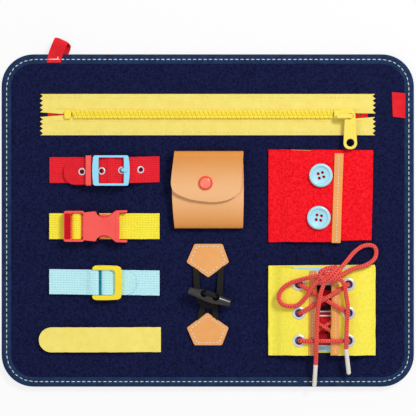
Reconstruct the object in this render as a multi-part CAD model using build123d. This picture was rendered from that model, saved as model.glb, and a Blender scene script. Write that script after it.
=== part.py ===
from build123d import *
import os
from math import atan2, cos, degrees, pi, radians, sin, tan

# A soft busy board: a bound felt board that carries eight fastening stations.
# The board lies on its back: +X right, +Y to the hanging loop, +Z out of its face. Sizes are in mm.

# ---- driving dimensions -------------------------------------------------------------------------
board_width = 320.0
board_height = 258.0
corner_radius = 25.0
felt = 2.0                       # front and back felt
core = 1.6                       # stiffening board between them
binding = 0.6                    # binding tape
binding_leg = 7.6                # how far the binding folds over each face
ribbon = 0.7
loop_width = 11.0
loop_lean = 24.0
loop_from_side = 40.8            # foot of the hanging loop from the board's left side
loop_reach = 21.5                # from its foot to its fold
tab_from_side, tab_from_top = 12.6, 39.7
tab_lean = 4.0
tab_thick = 1.0
running_gap = 0.3                # between pieces of different bodies
seat_gap = 0.1                   # between soft pieces that lie on each other

web_width = 20.0                 # all straps
web = 1.2                        # strap thickness
strap_left = -122.6              # sewn end of the left straps
strap_right = -37.3              # sewn end of the right straps
bar_thick = 1.8                  # buckle bars that webbing goes round

zip_middle = 82.0
zip_length = 260.0
tape = 0.7
tape_width = 14.2
tape_slot = 1.8                  # half the gap between the two tapes
pinking = 3.8                    # zigzag pitch of the cut tape ends
pinking_depth = 2.0
backing = 0.3                    # printed strip under the tapes
backing_width = 10.0
backing_end = 6.0                # from the strip's end to the tape's end
tooth_pitch = 3.4
tooth_height = 1.7
tooth_reach = 3.05               # from the chain's middle to a tooth's root
chain_start = -104.0
chain_end = 106.0
slider_x = 105.5
slider_length = 15.7
slider_width = 9.8
slider_plate = 1.2
bail_rise = 2.4                  # clear height under the bail
bail_width = 3.2
bail_post = 2.2
pull_thick = 1.6
pull_reach = 20.6                # from the post to the middle of the finger hole
pull_wide = 10.9
finger_hole = 6.0
stop_length = 5.4
stop_width = 6.8

belt_y = 39.0
frame_left = -89.5
frame_right = -60.6
frame_bar = 4.8
frame_rail = 1.8
frame_bow = 0.9                  # how far the buckle's bars bow outwards
prong_bar_x = -75.8
prong_width = 2.2
prong_wire = 1.0
prong_slot = 3.6                 # slot in the base strap's fold for the prong's eye
frame_corner = 1.6
eyelet_bore = 3.6
eyelet_rim = 0.8
eyelet_spots = (-96.9, -81.7, -66.2, -52.0)
keeper_length = 5.0
keeper_floor = 0.8
keeper_side = 1.6
keeper_roof = 1.2
tongue_tip = -111.6

clip_y = -4.4
clip_thick = 7.4
clip_wall = 1.5
clip_edge = 0.8                  # rounding of the moulded rims
channel_half = 8.6               # half the inner width of the socket
socket_left = -95.7
channel_end = -74.9
plug_bar = (-111.1, -105.3)
plug_half = 12.0
arm_root = -92.0
tongue_rib = 2.8                 # width of the plug's middle rib

glide_y = -48.0
glide_left = -89.5
glide_right = -66.6
glide_bar = 4.4
glide_rail = 3.6
glide_center_x = -78.2
glide_turn_left, glide_turn_right = -83.4, -82.4
glide_tail = -54.6

peel_y = -92.5
peel_width = 20.6
peel_tip = -131.1
peel_corner = 6.0
peel_hinge_x = -41.8             # where the strap lifts from its sewn foot
peel_foot_end = -36.3
patch = 1.0                      # hook and loop patches
patch_left, patch_right = -126.0, -66.0
patch_width = 18.0

pouch_left = -27.0
pouch_right = 27.4
pouch_low = -6.0
pouch_high = 53.6
leather = 1.2
pouch_room = 5.0                 # clear height inside the pouch
crease_y = 48.6                  # where the flap bends
flap_low = 14.0                  # lower end of the flap
flap_right = 25.6
flap_bulge = 1.0                 # how far the flap stands past the pouch on the left
flap_corner = 17.0
snap_stack = 1.9                 # stud and socket between the flap and the pouch
snap_cap = 11.0
cap_height = 2.2
snap_post = 2.0
snap_x = -1.7
snap_y = 28.9

toggle_x = 1.3
toggle_y = -58.6
toggle_length = 34.0
toggle_middle = 8.6
toggle_end = 6.0
toggle_tilt = -17.0
toggle_hole = 4.6
toggle_hole_gap = 8.8
flat_cord_width = 4.6            # braided loops of the toggle
flat_cord = 2.0
bridge_cord = 3.4                # cord that runs through the toggle's two holes
patch_leather = 1.6
patch_span = -114.8              # the two patches are mirrored on half this height

button_diameter = 18.3
button_thick = 2.6
button_spots = ((87.5, 34.7, -16.0), (85.9, 2.1, 10.0))
button_rim = 2.8
button_recess = 0.9
sewing_hole = 2.0
sewing_radius = 2.5
shank_diameter = 2.0
buttonhole = (16.0, 2.8)
lining = 0.4                     # leather strip that shows at the flap's top
button_left, button_right = 46.8, 127.5
button_foot, button_head = -16.0, 55.0
button_base_left = 80.0
button_edge = 104.8              # free edge of the buttoned flap
panel_felt = 1.6
trim = 0.9

lace = 3.2
lace_eyelet_bore = 6.5
lace_eyelet_rim = 1.65
eyelet_lip = 0.35                # how far a flange stands off the cloth
lace_columns = (70.3, 108.5)
lace_rows = (-92.6, -71.3, -49.2)
lacing_left, lacing_right = 46.9, 129.6
lacing_low, lacing_high = -104.0, -34.5
gap_left, gap_right = 83.9, 95.4
trim_left, trim_right = 5.4, 6.1
lace_base = 1.0
picture = 0.3
knot_sizes = (8.2, 5.6, 3.0)
knot_turn = 14.0
knot_rise = 3.4
aglet_diameter = 3.4
aglet_left, aglet_right = 17.4, 20.2

# ---- levels above the back face -------------------------------------------------------------------
face = felt + core + felt
web_low = face + web / 2                       # a strap's middle when it lies on the face

parts = {}


def keep(name, *solids):
    """Store the solids of one node."""
    solids = [solid for item in solids for solid in item.solids()]
    parts[name] = solids[0] if len(solids) == 1 else Compound(children=solids)


def slab(x_range, y_range, z_range, corner=0.0):
    """A flat block between two corners, with its upright edges rounded."""
    width, height = x_range[1] - x_range[0], y_range[1] - y_range[0]
    middle = Pos(sum(x_range) / 2, sum(y_range) / 2, z_range[0])
    outline = RectangleRounded(width, height, corner) if corner else Rectangle(width, height)
    return extrude(middle * outline, z_range[1] - z_range[0])


def cut_out(points, z_range):
    """A flat piece with a straight-sided outline."""
    outline = make_face(Polyline(*points, close=True))
    return extrude(Pos(0, 0, z_range[0]) * outline, z_range[1] - z_range[0])


def rod(x, y, z_range, diameter):
    return extrude(Pos(x, y, z_range[0]) * Circle(diameter / 2), z_range[1] - z_range[0])


def run_length(a, b):
    return (Vector(*b) - Vector(*a)).length


def bend_radii(points, share=0.45, largest=1000.0):
    """The radius of the arc at each corner of a route, as large as its two runs allow."""
    radii = []
    for before, here, after in zip(points, points[1:], points[2:]):
        turn = (Vector(*here) - Vector(*before)).get_angle(Vector(*after) - Vector(*here))
        shorter = min(run_length(before, here), run_length(here, after))
        radii.append(min(largest, share * shorter / tan(radians(turn / 2))))
    return radii


def along(points, section, share=0.45, largest=1000.0, across=(0, 1, 0)):
    """Sweep a section along straight runs joined by tangent arcs."""
    path = FilletPolyline(*points, radius=bend_radii(points, share, largest))
    start = Plane(origin=path @ 0, x_dir=across, z_dir=path % 0)
    return sweep(start * section, path=path)


def strap(route, middle_y, width=web_width, thick=web, share=0.45, largest=1000.0):
    """Webbing that follows an XZ route, with its width along Y."""
    points = [(x, middle_y, z) for x, z in route]
    return along(points, Rectangle(width, thick), share, largest)


def height_on(route, x):
    """The height and the slope in degrees of an XZ route at x."""
    for (xa, za), (xb, zb) in zip(route, route[1:]):
        if min(xa, xb) <= x <= max(xa, xb):
            return za + (zb - za) * (x - xa) / (xb - xa), degrees(atan2(zb - za, xb - xa))


def wrapped_bar(x, middle_y, middle_z, length, wide, thick=bar_thick):
    """A buckle bar with round edges, along Y."""
    outline = Rot(90, 0, 0) * RectangleRounded(wide, thick, thick * 0.45)
    return extrude(Pos(x, middle_y + length / 2, middle_z) * outline, length, dir=(0, -1, 0))


# ---- board ---------------------------------------------------------------------------------------
def board_outline(inset):
    return RectangleRounded(board_width - 2 * inset, board_height - 2 * inset, corner_radius - inset)


def layer(inset, low, high):
    return extrude(Pos(0, 0, low) * board_outline(inset), high - low)


keep("back_panel", layer(binding, binding, felt) + layer(binding_leg, 0, binding))
keep("core_board", layer(binding, felt, felt + core))
keep("front_panel", layer(binding, felt + core, face))
binding_top = face + binding
keep("edge_binding", layer(0, 0, binding_top) - layer(binding, binding, face)
     - layer(binding_leg, -1, binding_top + 1))

loop_foot = (loop_from_side - board_width / 2, board_height / 2 + running_gap - binding_leg)
lean = radians(loop_lean)


def on_loop(reach, z):
    return (loop_foot[0] + reach * sin(lean), loop_foot[1] + reach * cos(lean), z)


loop_low = binding_top + ribbon / 2
loop_back = 1.0
loop_route = [on_loop(0, loop_low), on_loop(7, loop_low), on_loop(14, loop_low + 2.4),
              on_loop(loop_reach, loop_low + 1.0), on_loop(loop_reach, loop_back), on_loop(4, loop_back)]
loop = along(loop_route, Rectangle(loop_width, ribbon), across=(cos(lean), -sin(lean), 0))
keep("hang_loop", loop - layer(0, -1, binding_top))
tab_place = Pos(board_width / 2 - tab_from_side, board_height / 2 - tab_from_top, 0) * Rot(0, 0, tab_lean)
keep("side_tab", tab_place * slab((-4.9, 4.2), (-10.4, 10.4), (face, face + tab_thick)))

# ---- zip -----------------------------------------------------------------------------------------
backing_top = face + backing
tape_low = backing_top
tape_top = tape_low + tape
teeth_top = tape_top + tooth_height
backing_reach = zip_length / 2 - backing_end
backing_y = (zip_middle - backing_width / 2, zip_middle + backing_width / 2)
keep("zip_backing", slab((-backing_reach, backing_reach), backing_y, (face, backing_top)))


def zip_tape(side):
    """One tape: straight along the chain, parting at both ends, with pinked ends."""
    end = zip_length / 2
    outer = tape_slot + tape_width
    steps = int(tape_width / pinking)
    step = (outer - tape_slot) / steps
    right = []
    for i in range(steps):
        right += [(end, tape_slot + 0.3 + i * step), (end - pinking_depth, tape_slot + (i + 0.5) * step)]
    right.append((end, outer))
    left = [(-x, y) for x, y in reversed(right)]
    points = right + left + [(chain_start - 6, tape_slot)]
    return cut_out([(x, zip_middle + side * y) for x, y in points], (tape_low, tape_top))


def zip_teeth(side, offset):
    """One row of moulded teeth: a wide root on the tape, a neck and a head past the middle."""
    half = [(1.4, tooth_reach), (1.4, 1.5), (0.5, 1.0), (0.7, -0.2), (0.4, -0.6)]
    outline = half + [(-x, y) for x, y in reversed(half)]
    count = int((chain_end - chain_start - offset) / tooth_pitch)
    tooth = cut_out([(x, side * y) for x, y in outline], (tape_top, teeth_top))
    return [Pos(chain_start + offset + i * tooth_pitch, zip_middle, 0) * tooth for i in range(count)]


keep("zip_tapes", zip_tape(1), zip_tape(-1))
keep("zip_teeth", *zip_teeth(1, 0.0), *zip_teeth(-1, tooth_pitch / 2))
stop_end = chain_start - 1.6
stop_y = (zip_middle - stop_width / 2, zip_middle + stop_width / 2)
keep("zip_bottom_stop", slab((stop_end - stop_length, stop_end), stop_y, (tape_top, teeth_top), 1.0))

slider_floor = tape_top + running_gap
plate_low = teeth_top + running_gap
plate_top = plate_low + slider_plate
front, rear = slider_x + slider_length / 2, slider_x - slider_length / 2
half_wide = slider_width / 2
slider_outline = [(rear, 3.9), (rear + 6, 4.1), (front - 5, half_wide), (front - 1.4, half_wide),
                  (front, half_wide - 1.6)]
slider_points = slider_outline + [(x, -y) for x, y in reversed(slider_outline)]
slider = cut_out([(x, zip_middle + y) for x, y in slider_points], (slider_floor, plate_top))
slider -= slab((rear - 1, front + 1), (zip_middle - tooth_reach - running_gap, zip_middle + tooth_reach
                                       + running_gap), (slider_floor - 1, plate_low))
slider = fillet(slider.faces().sort_by(Axis.Z)[-1].edges(), 0.5)
bail_y = zip_middle - 1.4
bail_low = plate_top + bail_rise
bail_top = bail_low + slider_plate
pull_pivot_x = slider_x + 4.7
bail_back = slider_x - slider_length / 2 + 2.0
bail_half = bail_width / 2
bail = slab((bail_back, pull_pivot_x + bail_half), (bail_y - bail_half, bail_y + bail_half),
            (bail_low, bail_top), 1.2)
bail = fillet(bail.faces().sort_by(Axis.Z)[-1].edges(), 0.4)
bail += rod(pull_pivot_x, bail_y, (plate_top - 0.2, bail_low + 0.2), bail_post)
bail += slab((bail_back + 0.2, bail_back + 2.4), (bail_y - 1.4, bail_y + 1.4),
             (plate_top - 0.2, bail_low + 0.2))
keep("zip_slider", slider + bail)

pull_low = plate_top + running_gap
pull_end_x, pull_end_y = pull_pivot_x - 0.25, bail_y - pull_reach
pull_outline = [(-4.4, 3.0), (3.5, 3.0), (4.4, -12.6), (pull_wide / 2 - 0.25, -pull_reach),
                (-pull_wide / 2 - 0.25, -pull_reach), (-5.2, -12.6)]
pull = cut_out([(pull_pivot_x + x, bail_y + y) for x, y in pull_outline], (pull_low, pull_low + pull_thick))
pull += rod(pull_end_x, pull_end_y, (pull_low, pull_low + pull_thick), pull_wide)
pull -= rod(pull_end_x, pull_end_y, (pull_low - 1, pull_low + 3), finger_hole)
pull -= slab((pull_pivot_x - 2.8, pull_pivot_x + bail_post / 2 + 0.8), (bail_y - 1.9, bail_y + 1.9),
             (pull_low - 1, pull_low + 3), 1.8)
keep("zip_pull", pull)

# ---- belt ----------------------------------------------------------------------------------------
keeper_low = face + seat_gap
base_z = keeper_low + keeper_floor + running_gap + web / 2
bar_z = base_z + web / 2 + running_gap + bar_thick / 2
wrap_z = bar_z + bar_thick / 2 + running_gap + web / 2
tongue_top_z = wrap_z + web + running_gap + seat_gap
tongue_side_z = wrap_z + 0.1
outer_bar_z = tongue_side_z + web / 2 + eyelet_lip + running_gap + seat_gap
rail_top = outer_bar_z + bar_thick
wrap_end = prong_bar_x + 3.2
keep("belt_base_strap", strap([
    (strap_left, web_low), (-109, web_low), (-104, base_z), (wrap_end, base_z), (wrap_end, wrap_z),
    (prong_bar_x - 1, wrap_z), (prong_bar_x - 4.2, base_z + web + seat_gap),
    (prong_bar_x - 8.0, base_z + web + seat_gap)], belt_y, share=0.49)
    - slab((prong_bar_x - 3.2, wrap_end + 2), (belt_y - prong_slot / 2, belt_y + prong_slot / 2),
           (face, rail_top)))

tongue_route = [
    (strap_right, web_low), (-47, web_low), (-57.5, tongue_side_z), (-70.4, tongue_side_z + 0.1),
    (-73.0, tongue_top_z), (-76.6, tongue_top_z), (-78.8, tongue_side_z + 0.1), (-90, tongue_side_z),
    (-103, base_z + web + 0.4), (tongue_tip, web_low + web + 0.6)]
tongue = strap(tongue_route, belt_y, largest=4)
tip_centre = tongue_tip + web_width / 2
tip = rod(tip_centre, belt_y, (0, 30), web_width)
tip += slab((tip_centre, 0), (belt_y - web_width, belt_y + web_width), (0, 30))
tongue = tongue & tip


def eyelet_at(x, y, z, slope, bore, rim, wall, lip=eyelet_lip):
    """A rolled metal eyelet: a barrel with a flange on each side of the cloth."""
    outer, barrel = bore / 2 + rim, bore / 2 + 0.3
    profile = Polyline((bore / 2, 0, -wall / 2 - lip), (outer, 0, -wall / 2 - lip), (outer, 0, -wall / 2),
                       (barrel, 0, -wall / 2), (barrel, 0, wall / 2), (outer, 0, wall / 2),
                       (outer - 0.2, 0, wall / 2 + lip), (bore / 2, 0, wall / 2 + lip), close=True)
    return Pos(x, y, z) * Rot(0, -slope, 0) * revolve(make_face(profile), Axis.Z)


belt_eyelets = []
for x in eyelet_spots:
    z, slope = height_on(tongue_route, x)
    tongue -= Pos(x, belt_y, z) * Rot(0, -slope, 0) * Cylinder(eyelet_bore / 2 + 0.3, 6)
    belt_eyelets.append(eyelet_at(x, belt_y, z, slope, eyelet_bore, eyelet_rim, web + seat_gap))
keep("belt_tongue_strap", tongue)
keep("belt_eyelets", *belt_eyelets)

keeper_x = frame_left - keeper_length / 2 - running_gap
keeper_top = tongue_side_z + web / 2 + 0.6
keeper_z = (keeper_low, keeper_top + keeper_roof)
keeper_half = web_width / 2 + 0.4
keeper = slab((keeper_x - keeper_length / 2, keeper_x + keeper_length / 2),
              (belt_y - keeper_half - keeper_side, belt_y + keeper_half + keeper_side), keeper_z)
keeper = fillet(keeper.edges().filter_by(Axis.X), 0.7)
keeper -= slab((keeper_x - 5, keeper_x + 5), (belt_y - keeper_half, belt_y + keeper_half),
               (keeper_low + keeper_floor, keeper_top))
keep("belt_keeper", keeper)

rail_half = web_width / 2 + running_gap
frame_z = (bar_z - bar_thick / 2, rail_top)
frame_half = rail_half + frame_rail
bow_left_x, bow_right_x = frame_left + frame_bow, frame_right - frame_bow
right_bow = ThreePointArc((bow_right_x, -frame_half), (frame_right, 0), (bow_right_x, frame_half))
left_bow = ThreePointArc((bow_left_x, frame_half), (frame_left, 0), (bow_left_x, -frame_half))
frame_outline = make_face(Line(left_bow @ 1, right_bow @ 0) + right_bow
                          + Line(right_bow @ 1, left_bow @ 0) + left_bow)
frame = extrude(Pos(0, belt_y, frame_z[0]) * frame_outline, frame_z[1] - frame_z[0])
frame = fillet(frame.edges().filter_by(Axis.Z), frame_corner)
frame -= slab((frame_left - 1, frame_right + 1), (belt_y - rail_half, belt_y + rail_half),
              (frame_z[0] - 1, outer_bar_z))
frame -= slab((frame_left + frame_bar, frame_right - frame_bar), (belt_y - rail_half, belt_y + rail_half),
              (outer_bar_z - 1, rail_top + 1))
frame = fillet(frame.faces().sort_by(Axis.Z)[-1].outer_wire().edges(), 0.6)
frame += wrapped_bar(prong_bar_x, belt_y, bar_z, 2 * rail_half + 1, 2.6)
keep("belt_buckle_frame", frame)

prong_eye = bar_thick / 2 + 0.75
prong_points = [(prong_bar_x + prong_eye + 0.3, bar_z), (-66.6, bar_z), (-66.5, rail_top + 0.75),
                (-62.2, rail_top + 0.7)]
prong = strap(prong_points, belt_y, prong_width, prong_wire, share=0.3)
eye_ring = Pos(prong_bar_x, belt_y, bar_z) * Rot(90, 0, 0) * Cylinder(prong_eye + 0.8, prong_width)
eye_ring -= Pos(prong_bar_x, belt_y, bar_z) * Rot(90, 0, 0) * Cylinder(prong_eye, prong_width + 1)
keep("belt_prong", prong + eye_ring)

# ---- side-release clip ------------------------------------------------------------------------------
clip_low = face + web + seat_gap
clip_top = clip_low + clip_thick
clip_z = clip_low + clip_thick / 2
channel_low, channel_top = clip_low + clip_wall, clip_top - clip_wall


def mirrored(points):
    """A closed outline from its upper half, mirrored on the clip's middle line."""
    return [(x, clip_y + y) for x, y in points] + [(x, clip_y - y) for x, y in reversed(points)]


def soft_edges(solid, size):
    """Round the top and bottom rim of a moulded piece."""
    faces = solid.faces().sort_by(Axis.Z)
    return fillet(faces[0].outer_wire().edges() + faces[-1].outer_wire().edges(), size)


socket_half = [(socket_left, 10.6), (-86.2, 11.4), (-85.2, 8.9), (-82.4, 7.2), (-79.0, 6.8), (-74.6, 8.6),
               (-70.4, 12.0), (-61.8, 12.2)]
socket = soft_edges(cut_out(mirrored(socket_half), (clip_low, clip_top)), clip_edge)
socket -= slab((socket_left - 1, channel_end), (clip_y - channel_half, clip_y + channel_half),
               (channel_low, channel_top))
strap_half = web_width / 2 + running_gap
bar_left, bar_right = -72.6, -70.4
clip_bar_z = face + web + running_gap + bar_thick / 2 + seat_gap
socket -= slab((bar_right, -60), (clip_y - strap_half, clip_y + strap_half), (clip_low - 1, clip_top + 1))
socket -= slab((bar_left - 2.6, bar_right + 1), (clip_y - strap_half, clip_y + strap_half),
               (clip_low - 1, clip_z + 1.2))
socket += wrapped_bar((bar_left + bar_right) / 2, clip_y, clip_bar_z, 2 * strap_half + 1, 2.0)
keep("clip_socket", socket)

arm_z = (channel_low + running_gap, channel_top - running_gap)
ladder_z = (face + 2 * web + 2 * seat_gap + 0.9, clip_top)
plug = slab((plug_bar[0], socket_left - running_gap), (clip_y - plug_half, clip_y + plug_half),
            (clip_low, clip_top), 2.0)
plug = soft_edges(plug, clip_edge)
plug -= slab((plug_bar[1], -97.6), (clip_y - strap_half, clip_y + strap_half), (clip_low - 1, clip_top + 1))
plug -= slab((plug_bar[0] - 1, -97.0), (clip_y - strap_half, clip_y + strap_half),
             (clip_low - 1, ladder_z[0]))
plug_bar2_x = -101.0
plug += wrapped_bar(plug_bar2_x, clip_y, clip_bar_z, 2 * strap_half + 1, 2.4)
plug += slab((-97.0, arm_root - running_gap), (clip_y - 8.2, clip_y + 8.2), arm_z)
plug += slab((arm_root - 1, -78.5), (clip_y - tongue_rib / 2, clip_y + tongue_rib / 2), arm_z)
keep("clip_plug", plug)

arm_outline = [(arm_root, 7.2), (-88.0, 7.2), (-84.5, 7.4), (-84.5, 9.6), (-81.0, 10.4), (-77.0, 9.4),
               (-75.4, 7.8), (-75.4, 5.6), (-80.0, 5.2), (arm_root, 5.2)]
for name, side in (("upper", 1), ("lower", -1)):
    arm = cut_out([(x, clip_y + side * y) for x, y in arm_outline], arm_z)
    keep(f"clip_arm_{name}", arm)

plug_turn = clip_bar_z + bar_thick / 2 + running_gap + web / 2


def double_strap(turn_x, turn_z, bar_under_x, middle_y, far_x=strap_left):
    """Webbing sewn down at its two ends and folded round a bar, as one solid."""
    side = 1 if far_x < turn_x else -1
    top_z = web_low + web + seat_gap
    points = [(far_x, web_low), (turn_x, web_low), (turn_x, turn_z), (turn_x - side * 3.4, turn_z),
              (bar_under_x, top_z), (far_x, top_z)]
    return strap(points, middle_y, share=0.49)


keep("clip_strap_left", double_strap(plug_bar2_x + 2.9, plug_turn, plug_bar[1] - 1.6, clip_y))
socket_turn = (bar_left + bar_right) / 2 - 2.6
keep("clip_strap_right", strap([(-51.5, web_low), (socket_turn, web_low), (socket_turn, plug_turn),
                                (socket_turn + 4.4, plug_turn), (-60.0, web_low + web + seat_gap),
                                (-50.0, web_low + web + seat_gap), (-44.0, web_low),
                                (strap_right, web_low)], clip_y, share=0.49))

# ---- tri-glide --------------------------------------------------------------------------------------
glide_bar_z = clip_bar_z
glide_half = web_width / 2 + running_gap
glide_z = (glide_bar_z - bar_thick / 2, glide_bar_z + bar_thick / 2 + 2.4)
right_bar_low = web_low + 1.5 * web + seat_gap + running_gap + 0.15
glide_reach = glide_half + glide_rail
glide = slab((glide_left, glide_right), (glide_y - glide_reach, glide_y + glide_reach), glide_z, 3.2)
glide -= slab((glide_left - 1, glide_right + 1), (glide_y - glide_half, glide_y + glide_half),
              (glide_z[0] - 1, glide_z[1] + 1))
glide += slab((glide_right - glide_bar, glide_right), (glide_y - glide_half - 1, glide_y + glide_half + 1),
              (right_bar_low, glide_z[1]))
glide += wrapped_bar(glide_left + glide_bar / 2, glide_y, glide_bar_z, 2 * glide_half + 1, 3.6)
glide += wrapped_bar(glide_center_x, glide_y, glide_bar_z, 2 * glide_half + 1, 3.2)
keep("slide_buckle", glide)
glide_turn = glide_bar_z + bar_thick / 2 + running_gap + web / 2
keep("slide_strap_left", strap([(strap_left, web_low), (glide_turn_left - web / 2, web_low),
                                (glide_turn_left - web / 2, glide_turn), (-90.5, glide_turn),
                                (-94.0, web_low + web + seat_gap),
                                (strap_left, web_low + web + seat_gap)], glide_y, share=0.49))
tail = strap([(strap_right, web_low), (glide_turn_right + web / 2, web_low),
              (glide_turn_right + web / 2, glide_turn), (-76.4, glide_turn),
              (-72.2, web_low + web + seat_gap),
              (glide_tail, web_low + web + seat_gap)], glide_y, share=0.49)
keep("slide_strap_right", tail)

# ---- peel strap ---------------------------------------------------------------------------------------
hook_low = face + patch + seat_gap
peel_z = hook_low + patch + web / 2
patch_y = (peel_y - patch_width / 2, peel_y + patch_width / 2)
keep("loop_patch", slab((patch_left, patch_right), patch_y, (face, face + patch), 1.5))
keep("hook_patch", slab((patch_left, patch_right), patch_y, (hook_low, hook_low + patch), 1.5))
peel = strap([(peel_tip, peel_z), (patch_right + 6, peel_z), (peel_hinge_x - 10.2, web_low),
              (peel_hinge_x - running_gap, web_low)], peel_y, peel_width)
peel_half = peel_width / 2
peel &= slab((peel_tip, 0), (peel_y - peel_half - 0.7, peel_y + peel_half + 0.7), (0, 20), peel_corner)
keep("peel_strap", peel)
keep("peel_strap_foot", slab((peel_hinge_x, peel_foot_end), (peel_y - peel_half, peel_y + peel_half),
                             (face, face + web)))

# ---- leather pouch ------------------------------------------------------------------------------------
pouch_middle = (pouch_left + pouch_right) / 2
pouch_back_z = face + leather / 2
front_z = face + leather + pouch_room + leather / 2
flap_z = front_z + leather + snap_stack
flap_top = flap_z + leather / 2


def hide(route, low_x, high_x):
    """Leather that follows a YZ route, with its width along X."""
    points = [((low_x + high_x) / 2, y, z) for y, z in route]
    return along(points, Rectangle(high_x - low_x, leather), share=0.49, across=(1, 0, 0))


fold_y = pouch_high - leather / 2
low_y = pouch_low + leather / 2
keep("pouch_body", hide([(crease_y + 0.3, flap_z), (fold_y, flap_z), (fold_y, pouch_back_z),
                         (low_y, pouch_back_z), (low_y, front_z), (44.0, front_z)],
                        pouch_left, pouch_right))
flap_left = pouch_left - flap_bulge
flap_face = RectangleRounded(flap_right - flap_left, 80, flap_corner)
flap_face = Pos((flap_left + flap_right) / 2, 0, 0) * flap_face
flap = extrude(Pos(0, flap_low + 40, flap_z - leather / 2) * flap_face, leather)
flap -= slab((-60, 60), (crease_y, 120), (0, 40))
flap -= rod(snap_x, snap_y, (0, 40), snap_post + 0.2)
keep("pouch_flap", flap)
cap_sphere = ((snap_cap / 2) ** 2 + cap_height ** 2) / (2 * cap_height)
cap = Pos(snap_x, snap_y, flap_top + cap_height - cap_sphere) * Sphere(cap_sphere)
cap &= slab((-30, 30), (0, 60), (flap_top, flap_top + 10))
keep("snap_cap", cap + rod(snap_x, snap_y, (flap_z - leather / 2, flap_top + 0.1), snap_post))
flap_under = flap_z - leather / 2
socket_low = flap_under - 1.4
keep("snap_socket", rod(snap_x, snap_y, (socket_low, flap_under), 9.0)
     - rod(snap_x, snap_y, (socket_low - 1, flap_under - 0.4), 4.8))
stud_low = front_z + leather / 2
keep("snap_stud", rod(snap_x, snap_y, (stud_low, stud_low + 0.4), 8.0)
     + Pos(snap_x, snap_y, stud_low + 0.85) * Cone(1.9, 1.5, 1.0))

# ---- toggle --------------------------------------------------------------------------------------------
upper_patch = [(-10.8, -18.1), (10.9, -18.1), (16.5, -32.3), (0.2, -44.2), (-16.5, -32.3)]
lower_patch = [(x - 0.2, patch_span - y) for x, y in upper_patch]
patch_z = (face, face + patch_leather)
keep("toggle_patches", cut_out(upper_patch, patch_z), cut_out(lower_patch, patch_z))
cord_low = face + flat_cord / 2 + 0.05
loop_over = cord_low + flat_cord + 0.2
flat_section = RectangleRounded(flat_cord_width, flat_cord, 0.9)
loop_cord = along([
    (-9.2, -33.0, cord_low), (-8.7, -46, cord_low), (-8.3, -54, loop_over), (-6.6, -61.5, loop_over),
    (-1.0, -65.6, loop_over), (3.6, -65.6, loop_over), (8.4, -61.5, loop_over), (9.2, -54, loop_over),
    (9.8, -46, cord_low), (10.2, -33.0, cord_low)], flat_section, across=(1, 0, 0))
keep("toggle_loop_cord", loop_cord - cut_out(upper_patch, (0, rail_top)))
toggle_low = loop_over + flat_cord / 2 + running_gap
toggle_z = toggle_low + toggle_middle / 2
anchor_cords = [along([(6.4 * side, -79.0, cord_low), (5.2 * side + 0.4, -70.0, cord_low),
                       (4.2 * side + 1.2, -64.5, cord_low)], flat_section, across=(1, 0, 0))
                for side in (-1, 1)]
keep("toggle_anchor_cord", *[cord - cut_out(lower_patch, (0, rail_top)) for cord in anchor_cords])
half_length = toggle_length / 2
barrel = revolve(make_face(Polyline((-half_length, 0), (-half_length, toggle_end / 2))
                           + ThreePointArc((-half_length, toggle_end / 2), (0, toggle_middle / 2),
                                           (half_length, toggle_end / 2))
                           + Polyline((half_length, toggle_end / 2), (half_length, 0), (-half_length, 0))),
                 Axis.X)
toggle_place = Pos(toggle_x, toggle_y, toggle_z) * Rot(0, 0, toggle_tilt)
barrel = toggle_place * barrel
for side in (-1, 1):
    hole = toggle_place * Pos(side * toggle_hole_gap / 2, 0.5, 0) * Cylinder(toggle_hole / 2, 20)
    barrel -= hole
keep("toggle_button", barrel)
bridge_half = toggle_hole_gap / 2
bridge_top = toggle_z + toggle_middle / 2 + 1.2
bridge = along([(-bridge_half, 0.5, toggle_low + 0.8), (-bridge_half, 0.5, bridge_top),
                (bridge_half, 0.5, bridge_top), (bridge_half, 0.5, toggle_low + 0.8)],
               Circle(bridge_cord / 2), across=(1, 0, 0))
keep("toggle_bridge_cord", Pos(toggle_x, toggle_y, 0) * Rot(0, 0, toggle_tilt) * bridge)

# ---- button station -----------------------------------------------------------------------------------
base_top = face + panel_felt
flap_route_z = base_top + 2 * seat_gap + panel_felt / 2
keep("button_base_panel", cut_out([
    (button_base_left, button_head), (button_right + 0.7, button_head - 0.4),
    (button_right - 0.7, button_foot + 0.6), (button_base_left, button_foot + 0.6)], (face, base_top)))
button_picture = slab((button_base_left - 13.5, button_base_left - 0.5), (button_foot + 4, button_head - 1.5),
                      (face, face + lining))
button_flap = strap([(button_left, face + panel_felt / 2), (button_left + 9.2, face + panel_felt / 2),
                     (button_left + 19.2, flap_route_z), (button_edge, flap_route_z)],
                    (button_head + button_foot) / 2, button_head - button_foot + 3, panel_felt)
button_flap &= cut_out([(button_left + 0.4, button_head + 0.1), (button_edge, button_head + 0.1),
                        (button_edge - 2.3, button_foot - 1.4), (button_left - 0.2, button_foot - 0.2)],
                       (0, 40))
flap_surface = flap_route_z + panel_felt / 2
button_low = flap_surface + running_gap
shanks = []
for number, (x, y, turn) in enumerate(button_spots):
    button_flap -= Pos(x, y, 0) * slab((-buttonhole[0] / 2, buttonhole[0] / 2),
                                       (-buttonhole[1] / 2, buttonhole[1] / 2), (0, 40), 1.3)
    shanks.append(rod(x, y, (base_top, button_low - 0.05), shank_diameter))
    button = rod(x, y, (button_low, button_low + button_thick), button_diameter)
    button = fillet(button.edges(), 0.9)
    button -= rod(x, y, (button_low + button_thick - button_recess, button_low + 9),
                  button_diameter - 2 * button_rim)
    for corner in range(4):
        angle = radians(turn + 45 + 90 * corner)
        button -= rod(x + sewing_radius * cos(angle), y + sewing_radius * sin(angle), (0, 40), sewing_hole)
    keep(("button_upper", "button_lower")[number], button)
keep("button_shanks", *shanks)
keep("button_flap", button_flap)
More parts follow.
